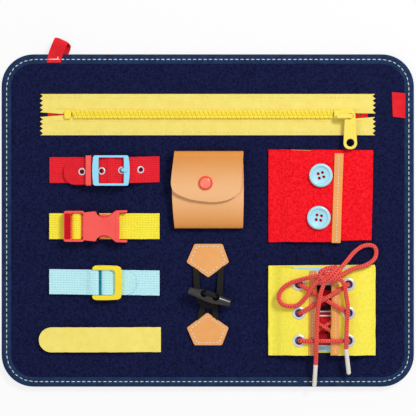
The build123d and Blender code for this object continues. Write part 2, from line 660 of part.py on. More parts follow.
keep("button_flap_trim", cut_out([
    (button_edge - 6.8, button_head - 3.3), (button_edge, button_head - 3.3),
    (button_edge - 2.3, button_foot - 1.4), (button_edge - 9.1, button_foot - 1.4)],
    (flap_surface, flap_surface + trim)))

# ---- lacing station -----------------------------------------------------------------------------------
lace_base_top = face + lace_base
picture_top = lace_base_top + picture
keep("lace_base_panel", slab((lacing_left, lacing_right), (lacing_low + 1.4, lacing_high),
                             (face, lace_base_top)))
keep("printed_panels", button_picture,
     slab((lacing_left + 15, lacing_right - 12.6), (lacing_low + 3, lacing_high - 1.6),
          (lace_base_top, picture_top)))
under_z = picture_top + seat_gap + lace / 2
lace_flap_z = under_z + lace / 2 + seat_gap + eyelet_lip + panel_felt / 2
lace_flap_top = lace_flap_z + panel_felt / 2
over_z = lace_flap_top + trim + running_gap + seat_gap + lace / 2
lacing_middle = (lacing_low + lacing_high - 1.2) / 2
lacing_tall = lacing_high - 1.2 - lacing_low
sewn_z = lace_base_top + panel_felt / 2
lace_eyelets, lace_trims = [], []
for name, outer, edge, column in (("left", lacing_left, gap_left, lace_columns[0]),
                                  ("right", lacing_right, gap_right, lace_columns[1])):
    side = 1 if edge > outer else -1
    panel = strap([(outer, sewn_z), (outer + side * 6, sewn_z), (outer + side * 15, lace_flap_z),
                   (edge, lace_flap_z)], lacing_middle, lacing_tall, panel_felt, largest=4)
    for row in lace_rows:
        panel -= rod(column, row, (0, 40), lace_eyelet_bore + 0.6)
        lace_eyelets.append(eyelet_at(column, row, lace_flap_z, 0, lace_eyelet_bore, lace_eyelet_rim,
                                      panel_felt + seat_gap / 2))
    keep(f"lace_flap_{name}", panel)
    trim_far = edge - side * (trim_left if name == "left" else trim_right)
    lace_trims.append(slab((min(edge, trim_far), max(edge, trim_far)), (lacing_low + 0.2, lacing_high - 3.4),
                           (lace_flap_top, lace_flap_top + trim)))
keep("lace_trims", *lace_trims)
keep("lace_eyelets", *lace_eyelets)

left_x, right_x = lace_columns[0] + 0.6, lace_columns[1] - 0.6
low_row, mid_row, top_row = lace_rows
knot = (93.2, -41.2)
knot_low = over_z + lace / 2 + 0.3
gap_x = (gap_left + gap_right) / 2 - 0.25
lace_route = [
    (gap_x - 1.8, -43.0, knot_low), (gap_x - 1.8, -44.0, under_z + 0.4),
    (left_x, top_row, under_z), (left_x, top_row, over_z), (84.6, -57.4, over_z),
    (gap_x, -60.2, over_z - 1.9), (94.7, -63.4, over_z), (right_x, mid_row, over_z),
    (right_x, mid_row, under_z), (gap_x + 0.4, -82.0, under_z), (left_x, low_row, under_z),
    (left_x, low_row, over_z), (gap_x, low_row, over_z - 0.3), (right_x, low_row, over_z),
    (right_x, low_row, under_z), (gap_x + 4.2, -84.4, under_z), (gap_x, -82.0, under_z + 4.6),
    (gap_x - 4.2, -79.6, under_z), (left_x, mid_row, under_z), (left_x, mid_row, over_z),
    (81.2, -65.0, over_z + 0.2), (gap_x, -60.2, over_z + 2.7), (98.0, -55.3, over_z + 0.2),
    (right_x, top_row, over_z), (right_x, top_row, under_z),
    (gap_x + 2.4, -44.2, under_z + 0.4), (gap_x + 2.4, -43.0, knot_low)]


def cord_tube(points, diameter, share=0.45):
    """A round cord along a route, with a print of its radii and its volume check."""
    radii = bend_radii(points, share)
    path = FilletPolyline(*points, radius=radii)
    start = Plane(origin=path @ 0, z_dir=path % 0)
    tube = sweep(start * Circle(diameter / 2), path=path)
    print("cord", round(path.length, 1), "long, radii", [round(r, 1) for r in radii],
          "volume share", round(tube.volume / (pi / 4 * diameter ** 2 * path.length), 3))
    return tube


keep("lace", cord_tube(lace_route, lace, 0.49))
knot_z = knot_low + knot_rise
knot_solid = scale(Sphere(1), by=knot_sizes)
knot_place = Pos(knot[0], knot[1], knot_z) * Rot(0, 0, knot_turn)
keep("lace_knot", knot_place * knot_solid)

bow_left = [(86.4, -40.4, knot_z), (78.5, -42.4, knot_z - 0.6), (69.5, -44.0, over_z + 0.4),
            (60.5, -46.8, over_z - 0.4), (56.2, -54.2, over_z - 0.8), (60.6, -61.4, over_z - 0.6),
            (70.4, -61.6, over_z + 0.2), (78.6, -56.4, over_z + 3.2), (81.6, -48.0, knot_z - 0.9),
            (87.0, -43.0, knot_z - 0.4)]
bow_right = [(99.4, -37.2, knot_z), (107.0, -30.0, knot_z - 2.0), (114.6, -22.0, 10.8),
             (123.4, -15.8, 8.4), (129.4, -19.4, 8.0), (127.2, -28.4, 10.8), (120.4, -33.4, over_z - 0.6),
             (110.6, -35.0, over_z), (100.4, -39.4, knot_z - 0.8)]
keep("lace_bow_left", cord_tube(bow_left, lace))
keep("lace_bow_right", cord_tube(bow_right, lace))
end_left = [(91.0, -46.6, knot_z - 1.2), (88.2, -54.6, knot_z + 0.8), (86.6, -64.0, knot_z + 0.6),
            (84.9, -75.0, knot_z - 1.6), (84.0, -86.0, over_z + 3.6), (83.6, -96.0, over_z + 3.4),
            (83.6, -104.0, over_z + 0.3), (83.5, -111.2, over_z - 1.3)]
end_right = [(100.0, -43.6, knot_z - 0.6), (104.6, -48.4, knot_z - 0.6), (106.8, -57.0, over_z + 1.2),
             (108.4, -67.5, over_z + 3.8), (108.6, -78.5, over_z + 1.8), (107.4, -89.0, over_z + 3.6),
             (107.0, -98.8, over_z + 1.4)]
keep("lace_end_left", cord_tube(end_left, lace))
keep("lace_end_right", cord_tube(end_right, lace))


def aglet(route, length):
    """A white tip that carries on from the end of a lace."""
    end, before = Vector(*route[-1]), Vector(*route[-2])
    way = (end - before).normalized()
    tip_plane = Plane(origin=end, z_dir=way)
    body = extrude(tip_plane * Circle(aglet_diameter / 2), length)
    return fillet(body.edges().sort_by(Axis.Y)[0], 0.8)


keep("aglets", aglet(end_left, aglet_left), aglet(end_right, aglet_right))

os.makedirs("parts", exist_ok=True)
for name, solid in parts.items():
    export_step(solid, f"parts/{name}.step")
print(len(parts), "nodes")
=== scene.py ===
from math import cos, pi, radians, sin

import bmesh
import bpy
from mathutils import Matrix, Vector, noise


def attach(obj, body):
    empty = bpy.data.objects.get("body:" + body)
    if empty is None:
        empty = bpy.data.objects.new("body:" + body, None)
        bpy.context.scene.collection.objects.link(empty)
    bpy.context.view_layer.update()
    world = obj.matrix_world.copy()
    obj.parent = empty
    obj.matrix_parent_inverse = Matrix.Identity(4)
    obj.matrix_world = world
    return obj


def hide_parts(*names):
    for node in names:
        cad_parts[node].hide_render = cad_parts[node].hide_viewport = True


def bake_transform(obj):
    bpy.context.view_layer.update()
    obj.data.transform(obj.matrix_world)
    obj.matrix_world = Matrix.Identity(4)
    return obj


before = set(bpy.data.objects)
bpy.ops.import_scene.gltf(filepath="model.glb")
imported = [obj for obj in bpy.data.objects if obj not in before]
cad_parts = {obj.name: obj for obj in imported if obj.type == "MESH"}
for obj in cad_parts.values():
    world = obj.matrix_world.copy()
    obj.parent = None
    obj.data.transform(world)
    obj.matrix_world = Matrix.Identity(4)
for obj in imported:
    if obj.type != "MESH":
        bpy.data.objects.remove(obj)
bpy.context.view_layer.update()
MM = 0.001

# ---- heights of the stations, in millimetres above the board's back ------------------------------
FACE = 5.6
WEB = 1.2
STRAP_Z = FACE + WEB / 2
SECOND_Z = STRAP_Z + WEB + 0.1
LACE = 3.2

# ---- camera, floor and light ---------------------------------------------------------------------
camera_data = bpy.data.cameras.new("overhead_camera")
VIEW_WIDTH, CAMERA_HEIGHT = 0.3224, 1.1
camera_data.lens = 36.0 * CAMERA_HEIGHT / VIEW_WIDTH
camera = bpy.data.objects.new("overhead_camera", camera_data)
camera.location = (0.0002, 0.0097, CAMERA_HEIGHT + FACE * MM)
bpy.context.collection.objects.link(camera)
bpy.context.scene.camera = camera
bpy.context.scene.view_settings.view_transform = "Standard"


def link(tree, source, target):
    tree.links.new(source, target)


def node(tree, kind, settings=None, **values):
    """A shader node with its settings and its input values."""
    made = tree.nodes.new("ShaderNode" + kind)
    for key, value in (settings or {}).items():
        setattr(made, key, value)
    for key, value in values.items():
        made.inputs[key.replace("_", " ")].default_value = value
    return made


def linear(red, green, blue):
    """A colour written in 0 to 255 screen values, as the shader takes it."""
    parts = [channel / 255 for channel in (red, green, blue)]
    return [c / 12.92 if c <= 0.04045 else ((c + 0.055) / 1.055) ** 2.4 for c in parts] + [1.0]


def pale_ground():
    """White to the camera and to reflections, a pale matte floor to everything else."""
    material = bpy.data.materials.new("pale_ground")
    material.use_nodes = True
    tree = material.node_tree
    shader = tree.nodes["Principled BSDF"]
    shader.inputs["Base Color"].default_value = (0.85, 0.85, 0.85, 1)
    shader.inputs["Roughness"].default_value = 0.9
    glow = node(tree, "Emission", Strength=1.0)
    path = node(tree, "LightPath")
    seen = node(tree, "Math", {"operation": "MAXIMUM"})
    link(tree, path.outputs["Is Camera Ray"], seen.inputs[0])
    link(tree, path.outputs["Is Glossy Ray"], seen.inputs[1])
    both = node(tree, "Math", {"operation": "MAXIMUM"})
    link(tree, seen.outputs[0], both.inputs[0])
    link(tree, path.outputs["Is Transmission Ray"], both.inputs[1])
    share = node(tree, "Math", {"operation": "MULTIPLY"})
    share.inputs[1].default_value = 0.8
    link(tree, both.outputs[0], share.inputs[0])
    mix = node(tree, "MixShader")
    link(tree, share.outputs[0], mix.inputs[0])
    link(tree, shader.outputs[0], mix.inputs[1])
    link(tree, glow.outputs[0], mix.inputs[2])
    link(tree, mix.outputs[0], tree.nodes["Material Output"].inputs["Surface"])
    return material


floor_mesh = bmesh.new()
bmesh.ops.create_grid(floor_mesh, x_segments=1, y_segments=1, size=3.0)
bmesh.ops.translate(floor_mesh, vec=(0, 0, -0.0004), verts=floor_mesh.verts)
floor_data = bpy.data.meshes.new("pale_floor")
floor_mesh.to_mesh(floor_data)
floor_mesh.free()
floor = bpy.data.objects.new("pale_floor", floor_data)
floor.data.materials.append(pale_ground())
bpy.context.collection.objects.link(floor)

world = bpy.data.worlds.new("studio")
bpy.context.scene.world = world
world.use_nodes = True
world.node_tree.nodes["Background"].inputs["Color"].default_value = (1.0, 1.0, 1.0, 1)
world.node_tree.nodes["Background"].inputs["Strength"].default_value = 0.5


def lamp(name, place, aim, size, power):
    data = bpy.data.lights.new(name, "AREA")
    data.shape = "DISK"
    data.size = size
    data.energy = power
    made = bpy.data.objects.new(name, data)
    made.location = place
    made.rotation_euler = (Vector(aim) - Vector(place)).to_track_quat("-Z", "Y").to_euler()
    bpy.context.collection.objects.link(made)


lamp("key_light", (0.75, 0.85, 1.25), (0, 0, 0), 0.45, 17.0)
lamp("fill_light", (-0.9, -0.4, 1.3), (0, 0, 0), 0.9, 4.0)


# ---- finishes ------------------------------------------------------------------------------------
def finish(name, colour, second, roughness, metallic=0.0, sheen=0.0, coat=0.0, grain=600.0, spread=0.5,
           gloss=0.5):
    """A base material: two shades of one colour, blended by a cloud of the given fineness."""
    material = bpy.data.materials.new(name)
    material.use_nodes = True
    tree = material.node_tree
    shader = tree.nodes["Principled BSDF"]
    shader.inputs["Roughness"].default_value = roughness
    shader.inputs["Metallic"].default_value = metallic
    shader.inputs["Specular IOR Level"].default_value = gloss
    shader.inputs["Sheen Weight"].default_value = sheen
    shader.inputs["Sheen Roughness"].default_value = 0.5
    shader.inputs["Coat Weight"].default_value = coat
    shader.inputs["Coat Roughness"].default_value = 0.12
    place = node(tree, "TexCoord")
    cloud = node(tree, "TexNoise", Scale=grain, Detail=3.0, Roughness=0.6)
    link(tree, place.outputs["Object"], cloud.inputs["Vector"])
    ramp = node(tree, "ValToRGB")
    ramp.color_ramp.elements[0].position = 0.5 - spread / 2
    ramp.color_ramp.elements[1].position = 0.5 + spread / 2
    ramp.color_ramp.elements[0].color = linear(*second)
    ramp.color_ramp.elements[1].color = linear(*colour)
    link(tree, cloud.outputs["Fac"], ramp.inputs["Fac"])
    link(tree, ramp.outputs["Color"], shader.inputs["Base Color"])
    return material, tree, shader, place, ramp


def relief(tree, shader, height, strength, depth):
    """Bump from a height in 0 to 1, depth in millimetres."""
    bump = node(tree, "Bump", Strength=strength, Distance=depth * MM)
    link(tree, height, bump.inputs["Height"])
    link(tree, bump.outputs["Normal"], shader.inputs["Normal"])
    return bump


def waves(tree, place, direction, pitch, distortion=0.0, profile="SIN", source="Object"):
    """Straight ribs across one direction, pitch in millimetres."""
    made = node(tree, "TexWave", {"wave_type": "BANDS", "bands_direction": direction,
                                  "wave_profile": profile},
                Scale=0.31416 / (pitch * MM), Distortion=distortion, Detail=1.0)
    link(tree, place.outputs[source], made.inputs["Vector"])
    return made.outputs["Fac"]


def blend_values(tree, operation, first, second):
    made = node(tree, "Math", {"operation": operation})
    for slot, value in enumerate((first, second)):
        if isinstance(value, float):
            made.inputs[slot].default_value = value
        else:
            link(tree, value, made.inputs[slot])
    return made.outputs[0]


def paint_hollow_shade(tree, shader, ramp, height, shade):
    """Paint shade into the hollows of a relief: mix them towards a deeper colour."""
    mix = node(tree, "Mix", {"data_type": "RGBA"})
    link(tree, height, mix.inputs[0])
    mix.inputs[6].default_value = linear(*shade)
    link(tree, ramp.outputs["Color"], mix.inputs[7])
    link(tree, mix.outputs[2], shader.inputs["Base Color"])


def felt(name, colour, second, nap=1.0):
    """Pressed fibres: mottled colour and a short rough nap."""
    material, tree, shader, place, ramp = finish(name, colour, second, 0.95, grain=640.0, spread=0.3,
                                                 gloss=0.08)
    fibres = node(tree, "TexNoise", Scale=2600.0, Detail=4.0, Roughness=0.75)
    link(tree, place.outputs["Object"], fibres.inputs["Vector"])
    relief(tree, shader, fibres.outputs["Fac"], 0.7 * nap, 0.35)
    return material


def webbing(name, colour, second, shade, rib=2.0, weft=0.9, depth=0.25):
    """Woven strap: ribs along its length, crossed by finer weft rows, with painted shade in the hollows
    between them.
    """
    material, tree, shader, place, ramp = finish(name, colour, second, 0.85, grain=180.0, gloss=0.15)
    ribs = waves(tree, place, "Y", rib, 0.4, source="UV")
    rows = waves(tree, place, "X", weft, 0.3, source="UV")
    height = blend_values(tree, "MULTIPLY", blend_values(tree, "POWER", ribs, 0.35),
                          blend_values(tree, "POWER", rows, 0.3))
    paint_hollow_shade(tree, shader, ramp, height, shade)
    relief(tree, shader, height, 0.8, depth)
    return material


def woven(name, colour, second, pitch=0.5, depth=0.1):
    """Fine plain weave for tapes and thin cloth."""
    material, tree, shader, place, ramp = finish(name, colour, second, 0.85, grain=150.0, gloss=0.15)
    height = blend_values(tree, "MULTIPLY", waves(tree, place, "X", pitch), waves(tree, place, "Y", pitch))
    relief(tree, shader, height, 0.6, depth)
    return material


def pored(tree, shader, place):
    """Fine pores pressed into a hide."""
    pores = node(tree, "TexVoronoi", {"feature": "DISTANCE_TO_EDGE"}, Scale=1500.0)
    link(tree, place.outputs["Object"], pores.inputs["Vector"])
    relief(tree, shader, pores.outputs["Distance"], 0.35, 0.15)


def leather(name, colour, second):
    """Smooth hide with fine pores and soft clouds of colour."""
    material, tree, shader, place, ramp = finish(name, colour, second, 0.55, coat=0.08, grain=90.0,
                                                 spread=0.7)
    pored(tree, shader, place)
    return material


def leather_with_painted_light(name, colour, second, glow, low, high):
    """Leather with painted light: a painted highlight paler round one level of Y, painted shade browner
    towards both ends.
    """
    material, tree, shader, place, ramp = finish(name, colour, second, 0.5, coat=0.06, grain=90.0, spread=0.7,
                                                 gloss=0.35)
    pored(tree, shader, place)
    split = node(tree, "SeparateXYZ")
    link(tree, place.outputs["Object"], split.inputs["Vector"])
    fade = node(tree, "MapRange", {"interpolation_type": "SMOOTHSTEP"})
    link(tree, split.outputs["Y"], fade.inputs["Value"])
    fade.inputs["From Min"].default_value, fade.inputs["From Max"].default_value = low * MM, high * MM
    highlight_share = blend_values(tree, "SINE", blend_values(tree, "MULTIPLY", fade.outputs["Result"], pi), 0.0)
    mix = node(tree, "Mix", {"data_type": "RGBA"})
    link(tree, highlight_share, mix.inputs[0])
    link(tree, ramp.outputs["Color"], mix.inputs[6])
    mix.inputs[7].default_value = linear(*glow)
    link(tree, mix.outputs[2], shader.inputs["Base Color"])
    return material


def moulded(name, colour, second, roughness=0.3, coat=0.3):
    """Injection-moulded plastic or enamel with a faint orange-peel surface."""
    material, tree, shader, place, ramp = finish(name, colour, second, roughness, coat=coat, grain=60.0,
                                                 spread=0.9)
    peel = node(tree, "TexNoise", Scale=450.0, Detail=2.0)
    link(tree, place.outputs["Object"], peel.inputs["Vector"])
    relief(tree, shader, peel.outputs["Fac"], 0.12, 0.08)
    return material


def plated(name, colour, second, roughness=0.34):
    material, tree, shader, place, ramp = finish(name, colour, second, roughness, metallic=0.45, grain=200.0)
    scuffs = node(tree, "TexNoise", Scale=900.0, Detail=5.0)
    link(tree, place.outputs["Object"], scuffs.inputs["Vector"])
    relief(tree, shader, scuffs.outputs["Fac"], 0.1, 0.05)
    return material


def braided(name, colour, shade, girth, around=4.0, lay=1.7, depth=0.25):
    """Two families of strands that cross as they run round a cord, from the cord's own UV map, with painted
    shade in the hollows between the strands.
    """
    material, tree, shader, place, ramp = finish(name, colour, colour, 0.8, grain=300.0, gloss=0.15)
    split = node(tree, "SeparateXYZ")
    link(tree, place.outputs["UV"], split.inputs["Vector"])
    run = blend_values(tree, "MULTIPLY", split.outputs["X"], 2 * pi / (lay * MM))
    turn = blend_values(tree, "MULTIPLY", split.outputs["Y"], around * 2 * pi / (girth * MM))
    left = blend_values(tree, "SINE", blend_values(tree, "ADD", run, turn), 0.0)
    right = blend_values(tree, "SINE", blend_values(tree, "SUBTRACT", run, turn), 0.0)
    height = blend_values(tree, "MAXIMUM", left, right)
    height = blend_values(tree, "ADD", blend_values(tree, "MULTIPLY", height, 0.5), 0.5)
    paint_hollow_shade(tree, shader, ramp, height, shade)
    relief(tree, shader, height, 0.9, depth)
    return material


def printed(name, stops, pitch):
    """A generic printed cloth: soft-edged patches in a few plain colours."""
    material, tree, shader, place, ramp = finish(name, stops[0], stops[1], 0.85, grain=pitch, spread=0.5,
                                                 gloss=0.15)
    ramp.color_ramp.interpolation = "CONSTANT"
    for number, colour in enumerate(stops[2:]):
        element = ramp.color_ramp.elements.new(0.42 + 0.07 * number)
        element.color = linear(*colour)
    weave = waves(tree, place, "X", 0.5)
    relief(tree, shader, weave, 0.3, 0.08)
    return material


M = {
    "navy_felt": felt("navy_felt", (25, 31, 72), (12, 14, 42)),
    "back_felt": felt("back_felt", (25, 31, 70), (12, 14, 42)),
    "red_felt": felt("red_felt", (252, 34, 46), (224, 6, 20), 0.6),
    "yellow_felt": felt("yellow_felt", (247, 236, 96), (240, 224, 64), 0.5),
    "binding_twill": woven("binding_twill", (30, 56, 94), (17, 36, 68), 0.7, 0.12),
    "red_ribbon": woven("red_ribbon", (232, 40, 50), (212, 22, 34), 0.8, 0.12),
    # webbings: the third colour is painted shade for the hollows of the weave
    "red_webbing": webbing("red_webbing", (250, 48, 60), (238, 36, 50), (206, 20, 36), 1.7, 1.2),
    "yellow_webbing": webbing("yellow_webbing", (255, 247, 88), (252, 240, 70), (240, 218, 44), 1.8, 1.2,
                              0.3),
    "blue_webbing": webbing("blue_webbing", (206, 246, 248), (196, 242, 246), (168, 224, 234), 1.8, 1.2),
    "peel_webbing": woven("peel_webbing", (246, 230, 122), (238, 218, 104), 0.6, 0.1),
    "zip_cloth": woven("zip_cloth", (243, 226, 122), (236, 214, 102), 0.5, 0.1),
    "zip_moulding": moulded("zip_moulding", (250, 228, 66), (244, 216, 48), 0.32),
    "zip_enamel": moulded("zip_enamel", (248, 228, 96), (243, 218, 82), 0.28, 0.4),
    "buckle_blue": moulded("buckle_blue", (150, 222, 250), (140, 214, 244), 0.3),
    "buckle_red": moulded("buckle_red", (248, 92, 84), (242, 70, 64), 0.34),
    "buckle_yellow": moulded("buckle_yellow", (248, 224, 40), (242, 214, 28), 0.32),
    "button_blue": moulded("button_blue", (172, 226, 240), (160, 218, 234), 0.35, 0.2),
    "snap_orange": moulded("snap_orange", (242, 78, 46), (234, 64, 36), 0.25, 0.4),
    "snap_face": moulded("snap_face", (252, 132, 112), (248, 112, 92), 0.3, 0.4),
    "clip_shade": woven("clip_shade", (206, 12, 28), (184, 6, 22), 0.9, 0.05),
    # dark teal: painted shade for the slide buckle's slit
    "slit_painted_shade": woven("slit_painted_shade", (24, 132, 154), (14, 108, 130), 0.8, 0.05),
    # dark red: painted shade inside the belt eyelets
    "eyelet_painted_shade": woven("eyelet_painted_shade", (96, 8, 18), (76, 4, 12), 0.6, 0.08),
    "toggle_black": moulded("toggle_black", (38, 39, 41), (28, 29, 31), 0.36, 0.3),
    "aglet_white": moulded("aglet_white", (238, 234, 222), (226, 220, 206), 0.4, 0.2),
    "silver": plated("silver", (235, 235, 238), (210, 210, 214)),
    "tan_leather": leather("tan_leather", (238, 170, 98), (230, 154, 80)),
    "trim_leather": leather("trim_leather", (236, 164, 84), (226, 148, 68)),
    # pouch leather: its paler middle band is a painted highlight, its browner top and bottom are painted
    # shade
    "pouch_leather_painted_light": leather_with_painted_light("pouch_leather_painted_light", (218, 142, 56), (212, 132, 48), (237, 180, 126), -12,
                                    56),
    "white_thread": woven("white_thread", (226, 226, 220), (206, 206, 200), 0.6, 0.1),
    # lace: its first colour is a painted highlight on the strand crowns, its second is painted shade in the
    # hollows
    "lace_braid": braided("lace_braid", (242, 98, 90), (198, 4, 14), LACE * pi, 2.0, 1.9, 0.35),
    "black_braid": braided("black_braid", (40, 38, 34), (0, 0, 0), 4.6, 2.0, 1.9),
    "zip_print": printed("zip_print", ((238, 200, 60), (34, 84, 50), (222, 16, 20), (232, 24, 26),
                                       (206, 10, 16)), 300.0),
    "lace_print": printed("lace_print", ((120, 16, 28), (44, 20, 28), (176, 16, 26), (208, 28, 36),
                                         (190, 20, 30)), 90.0),
    "print_sky": woven("print_sky", (200, 240, 255), (178, 228, 250), 0.6, 0.08),
    "print_pale": woven("print_pale", (236, 234, 230), (220, 220, 220), 0.6, 0.08),
    "print_wine": woven("print_wine", (176, 26, 36), (150, 16, 26), 0.6, 0.08),
    "print_ink": woven("print_ink", (50, 26, 36), (34, 20, 30), 0.6, 0.08),
    # slate blue: the print's blue darkened by painted shade, as seen down the eyelets
    "print_slate_painted_shade": woven("print_slate_painted_shade", (92, 104, 134), (76, 86, 112), 0.6, 0.08),
    "hook_pile": felt("hook_pile", (40, 42, 52), (20, 22, 30), 1.4),
    "stiff_board": woven("stiff_board", (150, 146, 136), (134, 130, 120), 1.4, 0.1),
}


# ---- shaping helpers: all lengths in millimetres -------------------------------------------------
def mesh_of(name, bm):
    data = bpy.data.meshes.new(name)
    bm.to_mesh(data)
    bm.free()
    return data


def object_of(name, data):
    made = bpy.data.objects.new(name, data)
    bpy.context.collection.objects.link(made)
    return made


def with_modifiers(made):
    """What an object's modifiers make of its mesh, as a bmesh."""
    evaluated = made.evaluated_get(bpy.context.evaluated_depsgraph_get())
    result = bmesh.new()
    result.from_mesh(evaluated.data)
    return result


def cleared(made):
    data = made.data
    bpy.data.objects.remove(made)
    bpy.data.meshes.remove(data)


def piece(name, bm, body, finish_name, replaces=(), bevel=0.0, thick=0.0, levels=0, sharp=40.0, segments=3):
    """Turn a mesh in millimetres into a piece of the scene, with its modifiers."""
    bmesh.ops.scale(bm, vec=(MM, MM, MM), verts=bm.verts)
    data = mesh_of(name, bm)
    made = object_of(name, data)
    data.materials.append(M[finish_name])
    for face in data.polygons:
        face.use_smooth = True
    if sharp:
        data.set_sharp_from_angle(angle=radians(sharp))
    if thick:
        wall = made.modifiers.new("thickness", "SOLIDIFY")
        wall.thickness = thick * MM
        wall.offset = 0.0
    if bevel:
        round_edges = made.modifiers.new("soft_edges", "BEVEL")
        round_edges.width = bevel * MM
        round_edges.segments = segments
        round_edges.limit_method = "ANGLE"
        round_edges.angle_limit = radians(35)
        round_edges.harden_normals = True
    if levels:
        smoother = made.modifiers.new("smooth", "SUBSURF")
        smoother.levels = smoother.render_levels = levels
    if body:
        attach(made, body)
    if replaces:
        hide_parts(*replaces)
    return made


def flat_face(bm, points, height, corner=0.0, segments=5):
    """A flat polygon, with its corners rounded by a vertex bevel."""
    face = bm.faces.new([bm.verts.new((x, y, height)) for x, y in points])
    if corner:
        bmesh.ops.bevel(bm, geom=list(face.verts), offset=corner, offset_type="OFFSET", segments=segments,
                        profile=0.5, affect="VERTICES", material=-1, clamp_overlap=True)
    return [f for f in bm.faces if f.is_valid][-1]


def plate(points, low, high, corner=0.0, segments=5):
    """A flat polygon drawn up into a plate."""
    bm = bmesh.new()
    flat_face(bm, points, low, corner, segments)
    drawn = bmesh.ops.extrude_face_region(bm, geom=list(bm.faces))
    verts = [item for item in drawn["geom"] if isinstance(item, bmesh.types.BMVert)]
    bmesh.ops.translate(bm, vec=(0, 0, high - low), verts=verts)
    bmesh.ops.recalc_face_normals(bm, faces=bm.faces)
    return bm


def box_points(left, right, low, high):
    return [(left, low), (right, low), (right, high), (left, high)]


def ring_plate(outer, inner, low, high, outer_corner, inner_corner, segments=6):
    """A plate with one window: two outlines bridged, then drawn up."""
    bm = bmesh.new()
    for points, corner in ((outer, outer_corner), (inner, inner_corner)):
        flat_face(bm, points, low, corner, segments)
    bmesh.ops.delete(bm, geom=list(bm.faces), context="FACES_ONLY")
    bmesh.ops.bridge_loops(bm, edges=list(bm.edges))
    drawn = bmesh.ops.extrude_face_region(bm, geom=list(bm.faces))
    verts = [item for item in drawn["geom"] if isinstance(item, bmesh.types.BMVert)]
    bmesh.ops.translate(bm, vec=(0, 0, high - low), verts=verts)
    bmesh.ops.recalc_face_normals(bm, faces=bm.faces)
    return bm


def spun(profile, steps=48, closed=False):
    """A turned shape about the upright axis through the origin, from (radius, height) points."""
    bm = bmesh.new()
    verts = [bm.verts.new((radius, 0, height)) for radius, height in profile]
    edges = [bm.edges.new(pair) for pair in zip(verts, verts[1:])]
    if closed:
        edges.append(bm.edges.new((verts[-1], verts[0])))
    bmesh.ops.spin(bm, geom=verts + edges, cent=(0, 0, 0), axis=(0, 0, 1), angle=2 * pi, steps=steps,
                   use_merge=True)
    bmesh.ops.remove_doubles(bm, verts=bm.verts, dist=0.002)
    bmesh.ops.recalc_face_normals(bm, faces=bm.faces)
    return bm


def rod(radius, start, end, steps):
    """A round bar about the upright axis, from one height to another."""
    return spun([(0, start), (radius, start), (radius, end), (0, end)], steps)


def placed(bm, x, y, z, turn=0.0, axis="Z"):
    bmesh.ops.rotate(bm, verts=bm.verts, cent=(0, 0, 0), matrix=Matrix.Rotation(radians(turn), 3, axis))
    bmesh.ops.translate(bm, verts=bm.verts, vec=(x, y, z))
    return bm


def joined(*meshes):
    """One bmesh out of several."""
    whole = bmesh.new()
    for bm in meshes:
        data = mesh_of("part_of_piece", bm)
        whole.from_mesh(data)
        bpy.data.meshes.remove(data)
    return whole


def carved(target, *cutters):
    """Cut closed shapes out of a closed shape."""
    objects = [object_of("carving", mesh_of("carving", bm)) for bm in (target,) + cutters]
    for cutter in objects[1:]:
        cut = objects[0].modifiers.new("cut", "BOOLEAN")
        cut.operation, cut.object, cut.solver = "DIFFERENCE", cutter, "EXACT"
    result = with_modifiers(objects[0])
    for made in objects:
        cleared(made)
    return result


def eased(route, rounds=3):
    """Soften a strap's folds by cutting its corners a few times."""
    points = [Vector(point) for point in route]
    for _ in range(rounds):
        cut = [points[0]]
        for a, b in zip(points, points[1:]):
            cut += [a.lerp(b, 0.25), a.lerp(b, 0.75)]
        points = cut + [points[-1]]
    return points


def lay_map(bm, run_layer, side_layer, around=0.0):
    """A UV map in metres from how far along and how far across each point is."""
    uv = bm.loops.layers.uv.new("UVMap")
    for face in bm.faces:
        sides = [loop.vert[side_layer] for loop in face.loops]
        for loop, side in zip(face.loops, sides):
            wrapped = around and max(sides) - side > around / 2
            loop[uv].uv = (loop.vert[run_layer], side + around if wrapped else side)


def drawn_on(bm, edges, step):
    """Extrude a row of edges by one step: its new vertices and its new edges."""
    drawn = bmesh.ops.extrude_edge_only(bm, edges=edges)["geom"]
    verts = [item for item in drawn if isinstance(item, bmesh.types.BMVert)]
    edges = [item for item in drawn if isinstance(item, bmesh.types.BMEdge) and set(item.verts) <= set(verts)]
    bmesh.ops.translate(bm, vec=step, verts=verts)
    return verts, edges


def band(route, across, width, strips=10, rounds=3, ripple=0.0, spacing=0.0):
    """A strip of cloth drawn out along a route, still without thickness."""
    bm = bmesh.new()
    points = eased(route, rounds)
    if spacing:
        fine = [points[0]]
        for a, b in zip(points, points[1:]):
            count = max(1, round((b - a).length / spacing))
            fine += [a.lerp(b, (number + 1) / count) for number in range(count)]
        points = fine
    sideways = Vector(across).normalized()
    run_layer, side_layer = bm.verts.layers.float.new("run"), bm.verts.layers.float.new("side")
    row = [bm.verts.new(points[0] + sideways * width * (i / strips - 0.5)) for i in range(strips + 1)]
    for number, vert in enumerate(row):
        vert[side_layer] = width * MM * number / strips
    edges = [bm.edges.new(pair) for pair in zip(row, row[1:])]
    run = 0.0
    for before, here in zip(points, points[1:]):
        verts, edges = drawn_on(bm, edges, here - before)
        run += (here - before).length * MM
        for vert in verts:
            vert[run_layer] = run
    lay_map(bm, run_layer, side_layer)
    if ripple:
        for vert in bm.verts:
            vert.co += sideways * ripple * noise.noise(vert.co * 0.22)
            vert.co.z += ripple * noise.noise(vert.co * 0.12)
    bmesh.ops.recalc_face_normals(bm, faces=bm.faces)
    return bm


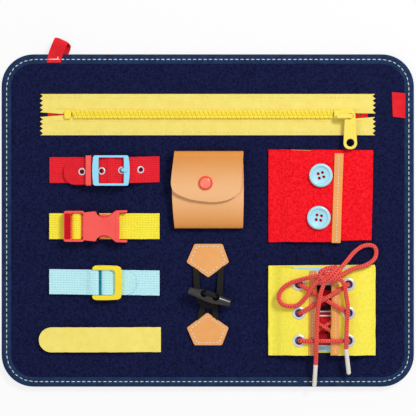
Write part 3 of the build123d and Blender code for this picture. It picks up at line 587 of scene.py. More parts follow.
def web_strap(name, route, middle, finish_name, replaces, width=20.0, thick=WEB, tip=None, tip_above=0.0,
              body="board", lean=(0.0, 0.0)):
    """A webbing strap along X, with a round end where a tip is given and a drift aside past one X."""
    bm = band([(x, middle, z) for x, z in route], (0, 1, 0), width, 12, 3, 0.12, 0.45 if tip else 0.0)
    if tip:
        reach, way = tip
        for vert in bm.verts:
            depth = (vert.co.x - reach) * way
            if depth > 0 and vert.co.z > tip_above:
                side = max(0.0, 1 - (depth / (width / 2)) ** 2) ** 0.5
                vert.co.y = middle + (vert.co.y - middle) * max(side, 0.02)
    for vert in bm.verts:
        vert.co.y += lean[1] * max(0.0, vert.co.x - lean[0])
    return piece(name, bm, body, finish_name, replaces, bevel=0.3, thick=thick, sharp=0, segments=2)


def thread(name, lines, body, width=0.75, pitch=4.0, dash=2.6, finish_name="white_thread"):
    """Rows of stitches: short rounded dashes laid along straight lines."""
    bm = bmesh.new()
    for start, end in lines:
        start, end = Vector(start), Vector(end)
        run = (end - start).length
        way = (end - start).normalized()
        count = max(1, round(run / pitch))
        for number in range(count):
            middle = start + way * (run * (number + 0.5) / count)
            turn = way.to_track_quat("X", "Z").to_matrix().to_4x4()
            size = Matrix.Diagonal((dash * run / count / pitch, width, 0.5, 1))
            bmesh.ops.create_uvsphere(bm, u_segments=6, v_segments=5, radius=0.5,
                                      matrix=Matrix.Translation(middle) @ turn @ size)
    return piece(name, bm, body, finish_name, sharp=0)


def closed_lines(points, height):
    return [((*a, height), (*b, height)) for a, b in zip(points, points[1:] + points[:1])]


# ---- board ---------------------------------------------------------------------------------------
HALF_WIDE, HALF_TALL, CORNER = 160.0, 129.0, 25.0


def cloth_panel(name, low, high, finish_name, replaced, inset=0.6):
    bm = plate(box_points(inset - HALF_WIDE, HALF_WIDE - inset, inset - HALF_TALL, HALF_TALL - inset),
               low, high, CORNER - inset, 12)
    return piece(name, bm, "board", finish_name, [replaced], bevel=0.3)


front = cloth_panel("front_cloth", 3.6, FACE, "navy_felt", "front_panel")
back = cloth_panel("back_cloth", 0.1, 2.0, "back_felt", "back_panel")
cloth_panel("inner_board", 2.0, 3.6, "stiff_board", "core_board", 1.2)


def binding_tape():
    """The folded tape: one profile drawn along each side and spun round each corner."""
    profile = [(7.6, 5.75), (6.6, 6.12), (5.2, 6.15), (4.2, 5.86), (3.4, 6.1), (1.8, 6.16), (0.7, 5.8),
               (0.12, 4.9),
               (0.0, 3.1), (0.12, 1.3), (0.7, 0.4), (1.8, 0.05), (4.2, 0.02), (7.6, 0.06), (7.6, 0.5),
               (1.4, 0.7), (0.8, 3.1), (1.4, 5.5), (7.6, 5.6)]
    bm = bmesh.new()
    verts = [bm.verts.new((CORNER - HALF_WIDE, inset - HALF_TALL, z)) for inset, z in profile]
    edges = [bm.edges.new(pair) for pair in zip(verts, verts[1:] + verts[:1])]
    geometry = verts + edges
    middles = [(HALF_WIDE - CORNER, CORNER - HALF_TALL), (HALF_WIDE - CORNER, HALF_TALL - CORNER),
               (CORNER - HALF_WIDE, HALF_TALL - CORNER), (CORNER - HALF_WIDE, CORNER - HALF_TALL)]
    runs = [(270, 0, 0), (0, 208, 0), (-270, 0, 0), (0, -208, 0)]
    for run, middle in zip(runs, middles):
        for _ in range(30):
            ends = [item for item in geometry if isinstance(item, bmesh.types.BMEdge)]
            drawn = bmesh.ops.extrude_edge_only(bm, edges=ends)["geom"]
            moved = {item for item in drawn if isinstance(item, bmesh.types.BMVert)}
            bmesh.ops.translate(bm, verts=list(moved), vec=Vector(run) / 30)
            geometry = list(moved) + [item for item in drawn if isinstance(item, bmesh.types.BMEdge)
                                      and set(item.verts) <= moved]
        turned = bmesh.ops.spin(bm, geom=geometry, cent=(*middle, 0), axis=(0, 0, 1), angle=pi / 2, steps=12,
                                use_merge=False)["geom_last"]
        geometry = [item for item in turned if not isinstance(item, bmesh.types.BMFace)]
    bmesh.ops.remove_doubles(bm, verts=bm.verts, dist=0.01)
    for vert in bm.verts:
        if vert.co.z > 5.7:
            vert.co.z += 0.1 * noise.noise(vert.co * 0.12)
    bmesh.ops.recalc_face_normals(bm, faces=bm.faces)
    return piece("binding", bm, "board", "binding_twill", ["edge_binding"], sharp=60)


binding_tape()


def round_track(inset, height, per_corner=8):
    """Points round the board at one distance from its edge."""
    points = []
    reach = CORNER - inset
    for turn, (x, y) in enumerate(((1, -1), (1, 1), (-1, 1), (-1, -1))):
        for step in range(per_corner + 1):
            angle = radians(90 * turn - 90 + 90 * step / per_corner)
            points.append((x * (HALF_WIDE - CORNER) + reach * cos(angle),
                           y * (HALF_TALL - CORNER) + reach * sin(angle), height))
    return list(zip(points, points[1:] + points[:1]))


thread("binding_stitches", round_track(4.2, 6.0, 4), "board", width=0.75, pitch=4.1, dash=3.3)
binding_end = plate(box_points(70.4, 73.2, -128.8, -121.6), 5.9, 6.3, 0.4, 2)
piece("binding_end", binding_end, "board", "binding_twill", bevel=0.15)

# ---- hanging loop and side tab -------------------------------------------------------------------
def on_loop(reach, aside):
    """A point of the leaning ribbon: its lean grows from the sewn foot up to the fold."""
    x, y, steps = -119.1, 122.2, 24
    for step in range(steps):
        angle = radians(4 + 20 * min(1.0, max(0.0, reach) * (step + 0.5) / steps / 9.0))
        x, y = x + reach / steps * sin(angle), y + reach / steps * cos(angle)
    angle = radians(4 + 20 * min(1.0, max(0.0, reach) / 9.0)) * min(1.0, max(0.0, reach) / 4.0)
    return x + aside * cos(angle), y - aside * sin(angle)


loop_route = [(0, 0.0, 6.75), (0, 7.0, 6.8), (0, 13.0, 9.0), (0, 18.4, 8.4), (0, 19.3, 4.0), (0, 17.0, 1.0),
              (0, 6.4, 0.9)]
loop = band(loop_route, (1, 0, 0), 10.9, 8, 3, 0.0, 1.2)
for vert in loop.verts:
    back = max(0.0, 1 - vert.co.z / 6.0) * 3.6
    vert.co.y -= 0.9 * max(0.0, vert.co.y / 19.3) * max(0.0, abs(vert.co.x) / 5.45 - 0.5) ** 2 * 4
    vert.co.x, vert.co.y = on_loop(vert.co.y, vert.co.x + back)
    vert.co.z = max(vert.co.z, 0.45)
piece("hanging_ribbon", loop, "board", "red_ribbon", ["hang_loop"], bevel=0.15, thick=0.7, sharp=0,
      segments=2)
thread("loop_bartack", [((-124.2, 124.8, 7.15), (-113.6, 124.8, 7.15)),
                        ((-113.4, 124.8, 6.6), (-111.0, 124.8, 6.3)),
                        ((-116.9, 124.6, 7.2), (-115.6, 126.8, 7.2))], "board", width=0.95, pitch=11.0,
       dash=11.0)
side_tab = plate([(142.5, 99.5), (153.0, 98.6), (153.0, 79.2), (143.3, 80.3)], FACE, FACE + 1.0, 0.5, 3)
piece("red_side_tab", side_tab, "board", "red_ribbon", ["side_tab"], bevel=0.25)
thread("tab_stitches", [((151.6, 79.8, 6.62), (151.6, 98.2, 6.62))], "board", width=0.5, pitch=2.6, dash=1.8,
       finish_name="red_ribbon")

# ---- zip -----------------------------------------------------------------------------------------
ZIP_Y = 82.0
TAPE_LOW, TAPE_TOP = FACE + 0.3, FACE + 1.0
TEETH_TOP = TAPE_TOP + 1.7
backing = plate(box_points(-124, 124, ZIP_Y - 5, ZIP_Y + 5), FACE, FACE + 0.28, 0.5, 2)
piece("zip_lining", backing, "board", "zip_print", ["zip_backing"], bevel=0.1)


def pinked_tape(side):
    """One zip tape with its pinked ends, parting past the chain."""
    teeth, outer, inner = 4, 16.0, 0.3
    step = (outer - 1.8) / teeth
    right = []
    for number in range(teeth):
        right += [(130.0, 1.8 + number * step), (127.6, 1.8 + (number + 0.55) * step)]
    right.append((129.6, outer))
    left = [(-x, y) for x, y in reversed(right)]
    parting = [(108, inner), (111, 1.0), (130.0, 0.9)] if side > 0 else [(108, inner), (111, 3.2),
                                                                         (129.6, 1.8)]
    outline = right[1:] + left + [(-110, inner)] + parting
    bm = plate([(x, ZIP_Y + side * y) for x, y in outline], TAPE_LOW, TAPE_TOP)
    return bm


zip_cloth = joined(pinked_tape(1), pinked_tape(-1))
piece("zip_tape_pair", zip_cloth, "board", "zip_cloth", ["zip_tapes"], bevel=0.12, segments=2)
cords = joined(*[plate(box_points(-118, 120, ZIP_Y + y - 0.35, ZIP_Y + y + 0.35), TAPE_TOP - 0.1,
                       TAPE_TOP + 0.3, 0.3, 2)
                 for y in (4.6, -4.6)])
piece("tape_welts", cords, "board", "zip_cloth", bevel=0.15, segments=2)
thread("zip_stitches", [((-126, ZIP_Y + side * 13.4, TAPE_TOP + 0.05),
                         (126, ZIP_Y + side * 13.4, TAPE_TOP + 0.05))
                        for side in (1, -1)], "board", width=0.6, pitch=3.2, dash=2.2)


def chain():
    """Both rows of moulded teeth: a foot on the tape, a waist and a rounded head past the middle."""
    outline = [(1.35, 3.05), (1.35, 1.6), (0.55, 1.0), (0.72, -0.2), (0.4, -0.62)]
    outline += [(-x, y) for x, y in reversed(outline)]
    tooth = plate(outline, 0.0, 1.7)
    bmesh.ops.bevel(tooth, geom=[edge for edge in tooth.edges if min(v.co.z for v in edge.verts) > 1.6],
                    offset=0.3, offset_type="OFFSET", segments=1, profile=0.5, affect="EDGES", material=-1)
    data = mesh_of("tooth", tooth)
    whole = bmesh.new()
    for side, start in ((1, -104.0), (-1, -102.3)):
        count = int((106.0 - start) / 3.4)
        for number in range(count):
            before = len(whole.verts)
            whole.from_mesh(data)
            whole.verts.ensure_lookup_table()
            fresh = whole.verts[before:]
            if side < 0:
                bmesh.ops.rotate(whole, verts=fresh, cent=(0, 0, 0), matrix=Matrix.Rotation(pi, 3, "Z"))
            bmesh.ops.translate(whole, verts=fresh, vec=(start + number * 3.4, ZIP_Y, TAPE_TOP))
    bpy.data.meshes.remove(data)
    return piece("zip_chain", whole, "board", "zip_moulding", ["zip_teeth"], sharp=35)


bed = plate(box_points(-104.0, 97.0, ZIP_Y - 2.7, ZIP_Y + 2.7), TAPE_TOP - 0.1, TAPE_TOP + 0.95)
piece("chain_bed", bed, "board", "zip_moulding", bevel=0.2, segments=2)
chain()
stop = plate(box_points(-111.0, -105.6, ZIP_Y - 3.4, ZIP_Y + 3.4), TAPE_TOP, TEETH_TOP, 1.2, 4)
piece("bottom_stop", stop, "board", "zip_moulding", ["zip_bottom_stop"], bevel=0.5)

PLATE_LOW = TEETH_TOP + 0.3
PLATE_TOP = PLATE_LOW + 1.2
nose = [(97.65, 3.8), (103.6, 4.0), (108.3, 4.5), (111.6, 4.3), (113.1, 3.2)]
shell_outline = [(x, ZIP_Y + y) for x, y in nose] + [(x, ZIP_Y - y) for x, y in reversed(nose)]
shell = plate(shell_outline, TAPE_TOP + 0.3, PLATE_TOP, 1.0, 3)
tunnel = placed(plate(box_points(96, 115, -3.35, 3.35), TAPE_TOP - 1, PLATE_LOW), 0, ZIP_Y, 0)
slider = carved(shell, tunnel)
bridge = plate(box_points(99.2, 111.8, 78.9, 82.3), PLATE_TOP + 2.4, PLATE_TOP + 3.6, 1.5, 5)
legs = [plate(box_points(99.6, 102.2, 79.2, 82.0), PLATE_TOP - 0.3, PLATE_TOP + 2.6, 0.6, 3),
        placed(rod(1.1, PLATE_TOP - 0.3, PLATE_TOP + 2.6, 20),
               110.2, 80.6, 0)]
piece("slider", joined(slider, bridge, *legs), "zip_slider", "zip_enamel", ["zip_slider"], bevel=0.35)

pull_outline = [(105.8, 83.6), (113.7, 83.6), (114.6, 68.0), (115.4, 58.0), (112.6, 54.9), (107.2, 54.9),
                (104.5, 58.0), (105.0, 68.0)]
pull = plate(pull_outline, PLATE_TOP + 0.3, PLATE_TOP + 1.9, 2.4, 6)
eye = placed(rod(3.0, PLATE_TOP - 1, PLATE_TOP + 4, 36), 109.95, 60.0, 0)
slot = plate(box_points(107.4, 112.1, 78.7, 82.5), PLATE_TOP - 1, PLATE_TOP + 4, 1.8, 5)
piece("pull", carved(pull, eye, slot), "zip_pull", "zip_enamel", ["zip_pull"], bevel=0.45)

# ---- straps of three stations: where their sewn ends lie -----------------------------------------
STRAP_LEFT, STRAP_RIGHT = -122.6, -37.3

# ---- belt station --------------------------------------------------------------------------------
BELT_Y = 39.0
TONGUE_LEAN = 0.033
BASE_Z, WRAP_Z = 7.4, 11.0
SIDE_Z, TOP_Z = 11.1, 12.6
base_route = [(STRAP_LEFT, STRAP_Z), (-109, STRAP_Z), (-104, BASE_Z), (-72.6, BASE_Z), (-72.6, WRAP_Z),
              (-76.8, WRAP_Z), (-80.0, BASE_Z + 1.3), (-83.8, BASE_Z + 1.3)]
web_strap("belt_base", base_route, BELT_Y, "red_webbing", ["belt_base_strap"])
tongue_route = [(STRAP_RIGHT, STRAP_Z), (-47, STRAP_Z), (-57.5, SIDE_Z), (-70.4, SIDE_Z + 0.1),
                (-73.0, TOP_Z), (-76.6, TOP_Z),
                (-78.8, SIDE_Z + 0.1), (-90, SIDE_Z), (-103, BASE_Z + 1.6), (-111.6, STRAP_Z + 1.8)]
web_strap("belt_tongue", tongue_route, BELT_Y - 2.5, "red_webbing", ["belt_tongue_strap"], tip=(-101.6, -1),
          lean=(-135.0, TONGUE_LEAN))


def rolled_eyelet(bore, rim, wall, lip):
    """A pressed metal eyelet, turned round its barrel."""
    outer = bore + rim
    half = wall / 2
    return spun([(bore, -half - lip), (outer - 0.3, -half - lip), (outer, -half), (bore + 0.3, -half),
                 (bore + 0.3, half),
                 (outer, half), (outer - 0.15, half + lip * 0.7), (bore + rim * 0.5, half + lip * 1.15),
                 (bore + 0.1, half + lip * 0.8), (bore, half)], 40, closed=True)


EYELETS = ((-96.9, 9.99, -9.2), (-81.7, SIDE_Z + 0.1, 0.5), (-66.2, SIDE_Z + 0.1, 0.0), (-52.0, 8.55, 25.0))
# the dark red discs in the eyelet wells are painted shade over the strap seen through the holes
rings, wells = [], []
for x, z, slope in EYELETS:
    y = BELT_Y + TONGUE_LEAN * (x + 59)
    rings.append(placed(placed(rolled_eyelet(1.8, 1.1, 1.3, 0.35), 0, 0, 0, slope, "Y"), x, y, z))
    wells.append(placed(placed(rod(1.85, 0.68, 0.3, 24), 0, 0, 0, slope, "Y"), x, y, z))
piece("belt_rings", joined(*rings), "board", "silver", ["belt_eyelets"], sharp=50)
piece("belt_eyelet_well_shade", joined(*wells), "board", "eyelet_painted_shade")

RAIL_TOP = 14.25
frame_outer = [(-87.9, 26.9), (-61.1, 26.9), (-60.3, 33.0), (-60.0, 38.6), (-60.3, 44.4), (-61.1, 50.2),
               (-87.9, 50.2), (-88.7, 44.4), (-88.9, 38.6), (-88.7, 33.0)]
frame_inner = [(-83.9, 28.6), (-64.6, 28.6), (-64.5, 33.6), (-64.5, 38.6), (-64.5, 43.6), (-64.6, 48.6),
               (-83.9, 48.6), (-84.0, 43.6), (-84.1, 38.6), (-84.0, 33.6)]
buckle = ring_plate(frame_outer, frame_inner, 12.45, RAIL_TOP, 1.2, 0.7, 3)
cheeks = [plate(box_points(-87.5, -62.5, y0, y1), 8.3, 12.6, 0.8, 3) for y0,
          y1 in ((27.0, 28.4), (48.8, 50.1))]
bar = plate(box_points(-77.1, -74.5, 28.0, 50.0), 8.3, 10.1, 0.5, 2)
piece("belt_buckle", joined(buckle, bar, *cheeks), "board", "buckle_blue", ["belt_buckle_frame"], bevel=0.55)


def prong_shape():
    """A flat-topped pin drawn along its route, with its eye round the centre bar."""
    route = [(-75.4, BELT_Y, 11.3), (-73.2, BELT_Y, 9.4), (-66.9, BELT_Y, 9.0),
             (-66.45, BELT_Y, RAIL_TOP + 0.75),
             (-61.9, BELT_Y, RAIL_TOP + 0.62)]
    return band(route, (0, 1, 0), 2.6, 4, 3)


piece("prong", prong_shape(), "belt_prong", "buckle_blue", ["belt_prong"], bevel=0.4, thick=1.05, sharp=0)
keeper = ring_plate(box_points(-11.9, 11.6, 0.0, 7.8), box_points(-10.5, 10.25, 0.85, 6.6), -2.1, 2.1, 1.4,
                    0.7, 4)
placed(keeper, 0, 0, 0, 90, "X")
placed(keeper, 0, 0, 0, 90, "Z")
placed(keeper, -91.9, BELT_Y - 0.3, 5.7, 0)
piece("strap_keeper", keeper, "belt_keeper", "buckle_red", ["belt_keeper"], bevel=0.3)

# ---- side-release clip ---------------------------------------------------------------------------
CLIP_Y = -4.4
CLIP_LOW, CLIP_TOP = 6.9, 14.3


def mirrored(points):
    return [(x, CLIP_Y + y) for x, y in points] + [(x, CLIP_Y - y) for x, y in reversed(points)]


def clip_block(left, right, half, low, high, corner=0.0, segments=5):
    """A plate that reaches as far above the clip's middle line as below it."""
    return placed(plate(box_points(left, right, -half, half), low, high, corner, segments), 0, CLIP_Y, 0)


socket_half = [(-95.7, 10.6), (-86.2, 11.6), (-85.2, 9.2), (-82.4, 7.2), (-79.0, 6.7), (-75.2, 8.2),
               (-70.6, 12.0), (-68.0, 12.4)]
body = plate(mirrored(socket_half), CLIP_LOW, CLIP_TOP, 1.0, 3)
channel = clip_block(-97, -74.9, 8.4, CLIP_LOW + 1.5, CLIP_TOP - 1.5)
under = clip_block(-75.2, -66, 10.3, CLIP_LOW - 1, CLIP_LOW + 4.9)
socket = carved(body, channel, under)
ears = [placed(plate([(-69.4, 10.3 * side), (-69.0, 12.3 * side), (-62.4, 12.4 * side), (-61.8, 11.5 * side),
                      (-62.4, 10.6 * side)], CLIP_LOW + 0.4, CLIP_TOP - 1.3, 0.8, 3), 0, CLIP_Y,
               0) for side in (1, -1)]
ridge = clip_block(-70.9, -68.4, 10.4, CLIP_TOP - 0.5, CLIP_TOP + 0.35, 1.0, 3)
web_bar = clip_block(-72.5, -70.5, 10.6, 7.2, 9.0, 0.6, 3)
piece("clip_socket_shell", joined(socket, ridge, web_bar, *ears), "board", "buckle_red", ["clip_socket"],
      bevel=0.7)

plug_frame = ring_plate(box_points(-110.9, -95.0, CLIP_Y - 11.9, CLIP_Y + 11.9),
                        box_points(-105.3, -95.9, CLIP_Y - 10.2, CLIP_Y + 10.2), 8.9, CLIP_TOP - 0.1, 1.8,
                        0.9, 4)
plug_sides = [plate(box_points(-109.8, -96.0, CLIP_Y + y - 0.85, CLIP_Y + y + 0.85), CLIP_LOW, 9.4, 0.5,
                    2) for y in (11.1, -11.1)]
hidden_bar = clip_block(-103.0, -99.6, 10.6, 7.2, 10.6, 0.6, 3)
tongue_bars = [clip_block(-97.0, -92.4, 8.1, 8.8, 12.3, 0.5, 2),
               clip_block(-93.2, -78.6, 1.4, 8.8, 12.3, 0.7, 3)]
piece("clip_plug_frame", joined(plug_frame, hidden_bar, *plug_sides, *tongue_bars), "board", "buckle_red",
      ["clip_plug"], bevel=0.6)
shades = [clip_block(-110.2, -105.5, 10.0, CLIP_TOP - 0.08, CLIP_TOP + 0.02, 0.7, 3)]
notch_half = [(-82.6, 7.0), (-79.0, 6.4), (-75.0, 7.9), (-70.4, 11.7), (-70.0, 12.2), (-70.8, 12.5),
              (-75.4, 8.6), (-79.0, 7.1), (-82.3, 7.6), (-85.0, 9.5), (-86.0, 11.9)]
for side in (1, -1):
    notch = plate([(x, CLIP_Y + side * y) for x, y in notch_half], CLIP_LOW + 0.6, CLIP_TOP - 0.9)
    shades.append(notch)
piece("clip_shadow_lines", joined(*shades), "board", "clip_shade")
for which, side in (("upper", 1), ("lower", -1)):
    petal = [(-92.0, 7.2), (-86.2, 7.4), (-85.0, 8.3), (-83.2, 9.0), (-80.4, 9.5), (-77.4, 9.2), (-74.6, 8.3),
             (-73.0, 7.6), (-74.4, 6.6), (-80.0, 5.2), (-92.0, 5.2)]
    petal = plate([(x, CLIP_Y + side * y) for x, y in petal], 8.8, 12.4, 0.5, 3)
    piece(f"clip_petal_{which}", petal, f"clip_arm_{which}", "buckle_red", [f"clip_arm_{which}"], bevel=0.5)

turn_z = 9.1 + 0.3 + WEB / 2
fold_z = turn_z + 1.9
left_route = [(STRAP_LEFT, STRAP_Z), (-95.6, STRAP_Z), (-98.4, fold_z), (-103.8, fold_z), (-106.4, SECOND_Z),
              (STRAP_LEFT, SECOND_Z)]
web_strap("clip_web_left", left_route, CLIP_Y, "yellow_webbing", ["clip_strap_left"])
right_route = [(-51.5, STRAP_Z), (-74.1, STRAP_Z), (-74.1, turn_z), (-69.7, turn_z), (-60.0, SECOND_Z),
               (-50.0, SECOND_Z), (-44.0, STRAP_Z), (STRAP_RIGHT, STRAP_Z)]
web_strap("clip_web_right", right_route, CLIP_Y, "yellow_webbing", ["clip_strap_right"])
under_route = [(-95.0, STRAP_Z - 0.15), (-74.6, STRAP_Z - 0.15)]
web_strap("clip_web_under", under_route, CLIP_Y, "yellow_webbing", [], thick=0.9)

# ---- slide buckle --------------------------------------------------------------------------------
GLIDE_Y = -48.0
glide = [(-89.0, 9.7), (-89.2, 11.8), (-87.0, 13.4), (-78.0, 13.5), (-69.4, 13.1), (-67.0, 11.8),
         (-66.1, 8.0), (-66.0, 0.0)]
glide_window = [(-71.6, 0.0), (-71.6, 8.2), (-73.0, 9.7)]
glide = glide + [(x, -y) for x, y in reversed(glide[:-1])] + [(x, -y) for x,
                                                              y in reversed(glide_window)] + glide_window[1:]
glide = placed(plate(glide, 8.3, 11.4, 0.9, 4), 0, GLIDE_Y, 0)
glide_bars = [plate(box_points(x - w, x + w, GLIDE_Y - 10.8, GLIDE_Y + 10.8), 7.25, 9.0, 0.6, 3)
              for x, w in ((-87.3, 1.8), (-78.2, 1.6))]
piece("slide_buckle_frame", joined(glide, *glide_bars), "board", "buckle_yellow", ["slide_buckle"], bevel=0.7)
glide_turn = 8.1 + 0.9 + 0.3 + WEB / 2
web_strap("slide_web_left", [(STRAP_LEFT, STRAP_Z), (-84.4, STRAP_Z), (-84.4, glide_turn),
                             (-90.5, glide_turn),
                             (-94.0, SECOND_Z), (STRAP_LEFT, SECOND_Z)], GLIDE_Y + 0.7, "blue_webbing",
          ["slide_strap_left"], width=19.3, lean=(STRAP_LEFT, -0.012))
web_strap("slide_web_right", [(STRAP_RIGHT, STRAP_Z), (-81.8, STRAP_Z), (-81.8, glide_turn),
                              (-76.4, glide_turn),
                              (-72.2, SECOND_Z), (-54.6, SECOND_Z)], GLIDE_Y + 0.3, "blue_webbing",
          ["slide_strap_right"], tip=(-64.6, 1), tip_above=SECOND_Z - 0.8, width=19.3, lean=(-84.0, -0.016))
# a dark teal strip under the slit: painted shade where the view looks down into the slit
slit = plate(box_points(-84.1, -82.1, GLIDE_Y - 9.4, GLIDE_Y + 9.9), STRAP_Z, glide_turn - 0.5)
piece("slide_slit_shade", slit, "board", "slit_painted_shade")

# ---- peel strap ----------------------------------------------------------------------------------
PEEL_Y = -92.5
for which, low, replaced, body_name in (("lower", FACE, "loop_patch", "board"),
                                        ("upper", FACE + 1.1, "hook_patch", "peel_strap")):
    pad = plate(box_points(-126, -66, PEEL_Y - 9, PEEL_Y + 9), low, low + 1.0, 1.5, 4)
    piece(f"{which}_pile_pad", pad, body_name, "hook_pile", [replaced], bevel=0.2)
peel_route = [(-130.4, 8.3), (-60, 8.3), (-52, STRAP_Z), (-36.3, STRAP_Z)]
peel = web_strap("peel_band", peel_route, PEEL_Y + 0.3, "peel_webbing", ["peel_strap", "peel_strap_foot"],
                 width=19.2, tip=(-120.9, -1), body=None)
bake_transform(peel)

# ---- leather pouch -------------------------------------------------------------------------------
HIDE = 1.2
BACK_Z, FRONT_Z = FACE + 0.6, FACE + 1.2 + 5.0 + 0.6
FLAP_Z = FRONT_Z + HIDE + 1.9
SNAP_X, SNAP_Y = -1.7, 28.9
shell_route = [(0.2, 52.4, BACK_Z), (0.2, -5.4, BACK_Z), (0.2, -5.4, FRONT_Z), (0.2, 44.0, FRONT_Z)]
pouch = band(shell_route, (1, 0, 0), 54.0, 12, 3, 0.0, 3.0)
for vert in pouch.verts:
    side = (vert.co.x - 0.2) / 27.0
    swell = max(0.0, sin(pi * min(1.0, max(0.0, (vert.co.y + 5.4) / 58.0))))
    vert.co.x -= (1.9 * swell - 1.2) * abs(side) ** 3 if side < 0 else -0.5 * swell * side ** 3
    if vert.co.z > FRONT_Z - 1.0:
        vert.co.z += 0.5 * (1 - side * side) * max(0.0, 1 - ((vert.co.y - 20) / 26) ** 2)
piece("pouch_shell", pouch, "board", "pouch_leather_painted_light", ["pouch_body"], bevel=0.25, thick=HIDE, sharp=0,
      segments=2)


def across_at(stations, y):
    """The two edges of the flap at one height, read between its stations."""
    for (ya, la, ra), (yb, lb, rb) in zip(stations, stations[1:]):
        if yb <= y <= ya:
            share = (ya - y) / (ya - yb)
            return la + (lb - la) * share, ra + (rb - ra) * share
    return stations[-1][1:]


FLAP_EDGES = [(54.0, -25.5, 27.5), (45.0, -26.6, 27.0), (36.3, -27.7, 26.5), (29.8, -28.3, 26.1),
              (26.5, -28.1, 25.8),
              (23.2, -27.0, 25.1), (21.1, -25.2, 23.9), (19.7, -22.6, 22.6), (18.2, -19.2, 20.4),
              (16.7, -14.9, 17.6),
              (15.6, -10.0, 14.6), (14.8, -4.4, 11.2), (14.4, 0.6, 8.0), (14.3, 2.6, 6.4)]


def pouch_cover():
    """Back wall, top fold and flap of the pouch in one sheet: a grid narrowed to a broad rounded tongue."""
    top, tip, fold = 53.0, 14.3, 3.2
    wall_end, fold_end = 0.08, 0.16
    bm = bmesh.new()
    bmesh.ops.create_grid(bm, x_segments=28, y_segments=44, size=1.0)
    for vert in bm.verts:
        u, v = (vert.co.x + 1) / 2, (1 - vert.co.y) / 2
        if v <= wall_end:
            y, z = top, BACK_Z + 0.7 + (FLAP_Z - fold - BACK_Z - 0.7) * min(1.0, v / wall_end)
        elif v < fold_end:
            turn = pi / 2 * (v - wall_end) / 0.08
            y, z = top - fold * (1 - cos(turn)), FLAP_Z - fold + fold * sin(turn)
        else:
            share = (v - fold_end) / 0.84
            y = top - fold - (top - fold - tip) * (1 - (1 - share) ** 1.8)
            z = FLAP_Z + 0.3 * sin(pi * share)
        left, right = across_at(FLAP_EDGES, y)
        vert.co = (left + (right - left) * u, y, z)
        away = ((vert.co.x - SNAP_X) ** 2 + (vert.co.y - SNAP_Y) ** 2) ** 0.5
        vert.co.z -= 0.45 * max(0.0, 1 - away / 11.0) if v > 0.2 else 0.0
    bmesh.ops.smooth_vert(bm, verts=[v for v in bm.verts if v.co.y < 22], factor=0.5, use_axis_x=True,
                          use_axis_y=True)
    bmesh.ops.recalc_face_normals(bm, faces=bm.faces)
    return bm


cover = piece("pouch_cover_flap", pouch_cover(), None, "pouch_leather_painted_light", ["pouch_flap"], bevel=0.25,
              thick=HIDE, sharp=0, segments=2)
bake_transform(cover)
FLAP_TOP = FLAP_Z + 0.6
cap = spun([(0, 1.35), (3.9, 1.3), (4.2, 1.75), (4.7, 1.8), (5.2, 1.3), (5.45, 0.5), (5.3, 0.0), (2.0, -0.1),
            (2.0, -1.2), (0, -1.2)], 48)
face = spun([(0, 2.0), (1.6, 1.95), (3.0, 1.7), (4.05, 1.35), (0, 1.25)], 48)
piece("snap_button_face", placed(face, SNAP_X, SNAP_Y, FLAP_TOP), "pouch_flap", "snap_face", sharp=50)
piece("snap_button_cap", placed(cap, SNAP_X, SNAP_Y, FLAP_TOP), "pouch_flap", "snap_orange", ["snap_cap"],
      sharp=50)
cup = spun([(0, -0.4), (2.4, -0.4), (2.4, -1.4), (3.0, -1.5), (4.5, -0.9), (4.5, -0.1), (0, -0.1)], 40)
piece("snap_button_socket", placed(cup, SNAP_X, SNAP_Y, FLAP_Z - 0.6), "pouch_flap", "silver",
      ["snap_socket"], sharp=40)
stud = spun([(0, 1.35), (1.2, 1.35), (1.6, 1.0), (1.45, 0.5), (2.1, 0.4), (4.0, 0.35), (4.0, 0.0), (0, 0.0)],
            40)
piece("snap_button_stud", placed(stud, SNAP_X, SNAP_Y, FRONT_Z + 0.6), "board", "silver", ["snap_stud"],
      sharp=40)

# ---- toggle station ------------------------------------------------------------------------------
upper_patch = [(-10.3, -18.1), (11.4, -18.1), (16.5, -32.3), (0.4, -44.2), (-16.5, -32.3)]
lower_patch = [(-10.3, -96.6), (11.0, -96.6), (16.3, -83.0), (-0.3, -71.2), (-16.3, -83.0)]
patches = [plate(points, FACE, FACE + 1.6, 1.0, 3) for points in (upper_patch, lower_patch)]
piece("toggle_leather_patches", joined(*patches), "board", "tan_leather", ["toggle_patches"], bevel=0.35)


def inset_ring(points, share, height):
    """A patch's outline drawn in towards its middle, for its stitch line."""
    middle = Vector((sum(x for x, _ in points) / len(points), sum(y for _, y in points) / len(points)))
    return closed_lines([tuple(middle + (Vector(point) - middle) * share) for point in points], height)


thread("patch_stitches", inset_ring(upper_patch, 0.81, FACE + 1.65) + inset_ring(lower_patch, 0.81,
                                                                                 FACE + 1.65),
       "board", width=0.95, pitch=3.0, dash=2.2)
CORD_Z, OVER_Z = FACE + 1.05, FACE + 3.25
loop_route = [(-9.2, -35.0, CORD_Z), (-8.7, -46, CORD_Z), (-8.3, -54, OVER_Z), (-6.6, -61.5, OVER_Z),
              (-1.0, -65.6, OVER_Z),
              (3.6, -65.6, OVER_Z), (8.4, -61.5, OVER_Z), (9.2, -54, OVER_Z), (9.8, -46, CORD_Z),
              (10.2, -35.0, CORD_Z)]
anchor_routes = [[(6.4 * side, -78.0, CORD_Z), (5.2 * side + 0.4, -70.0, CORD_Z),
                  (4.2 * side + 1.2, -64.5, CORD_Z)]
                 for side in (-1, 1)]


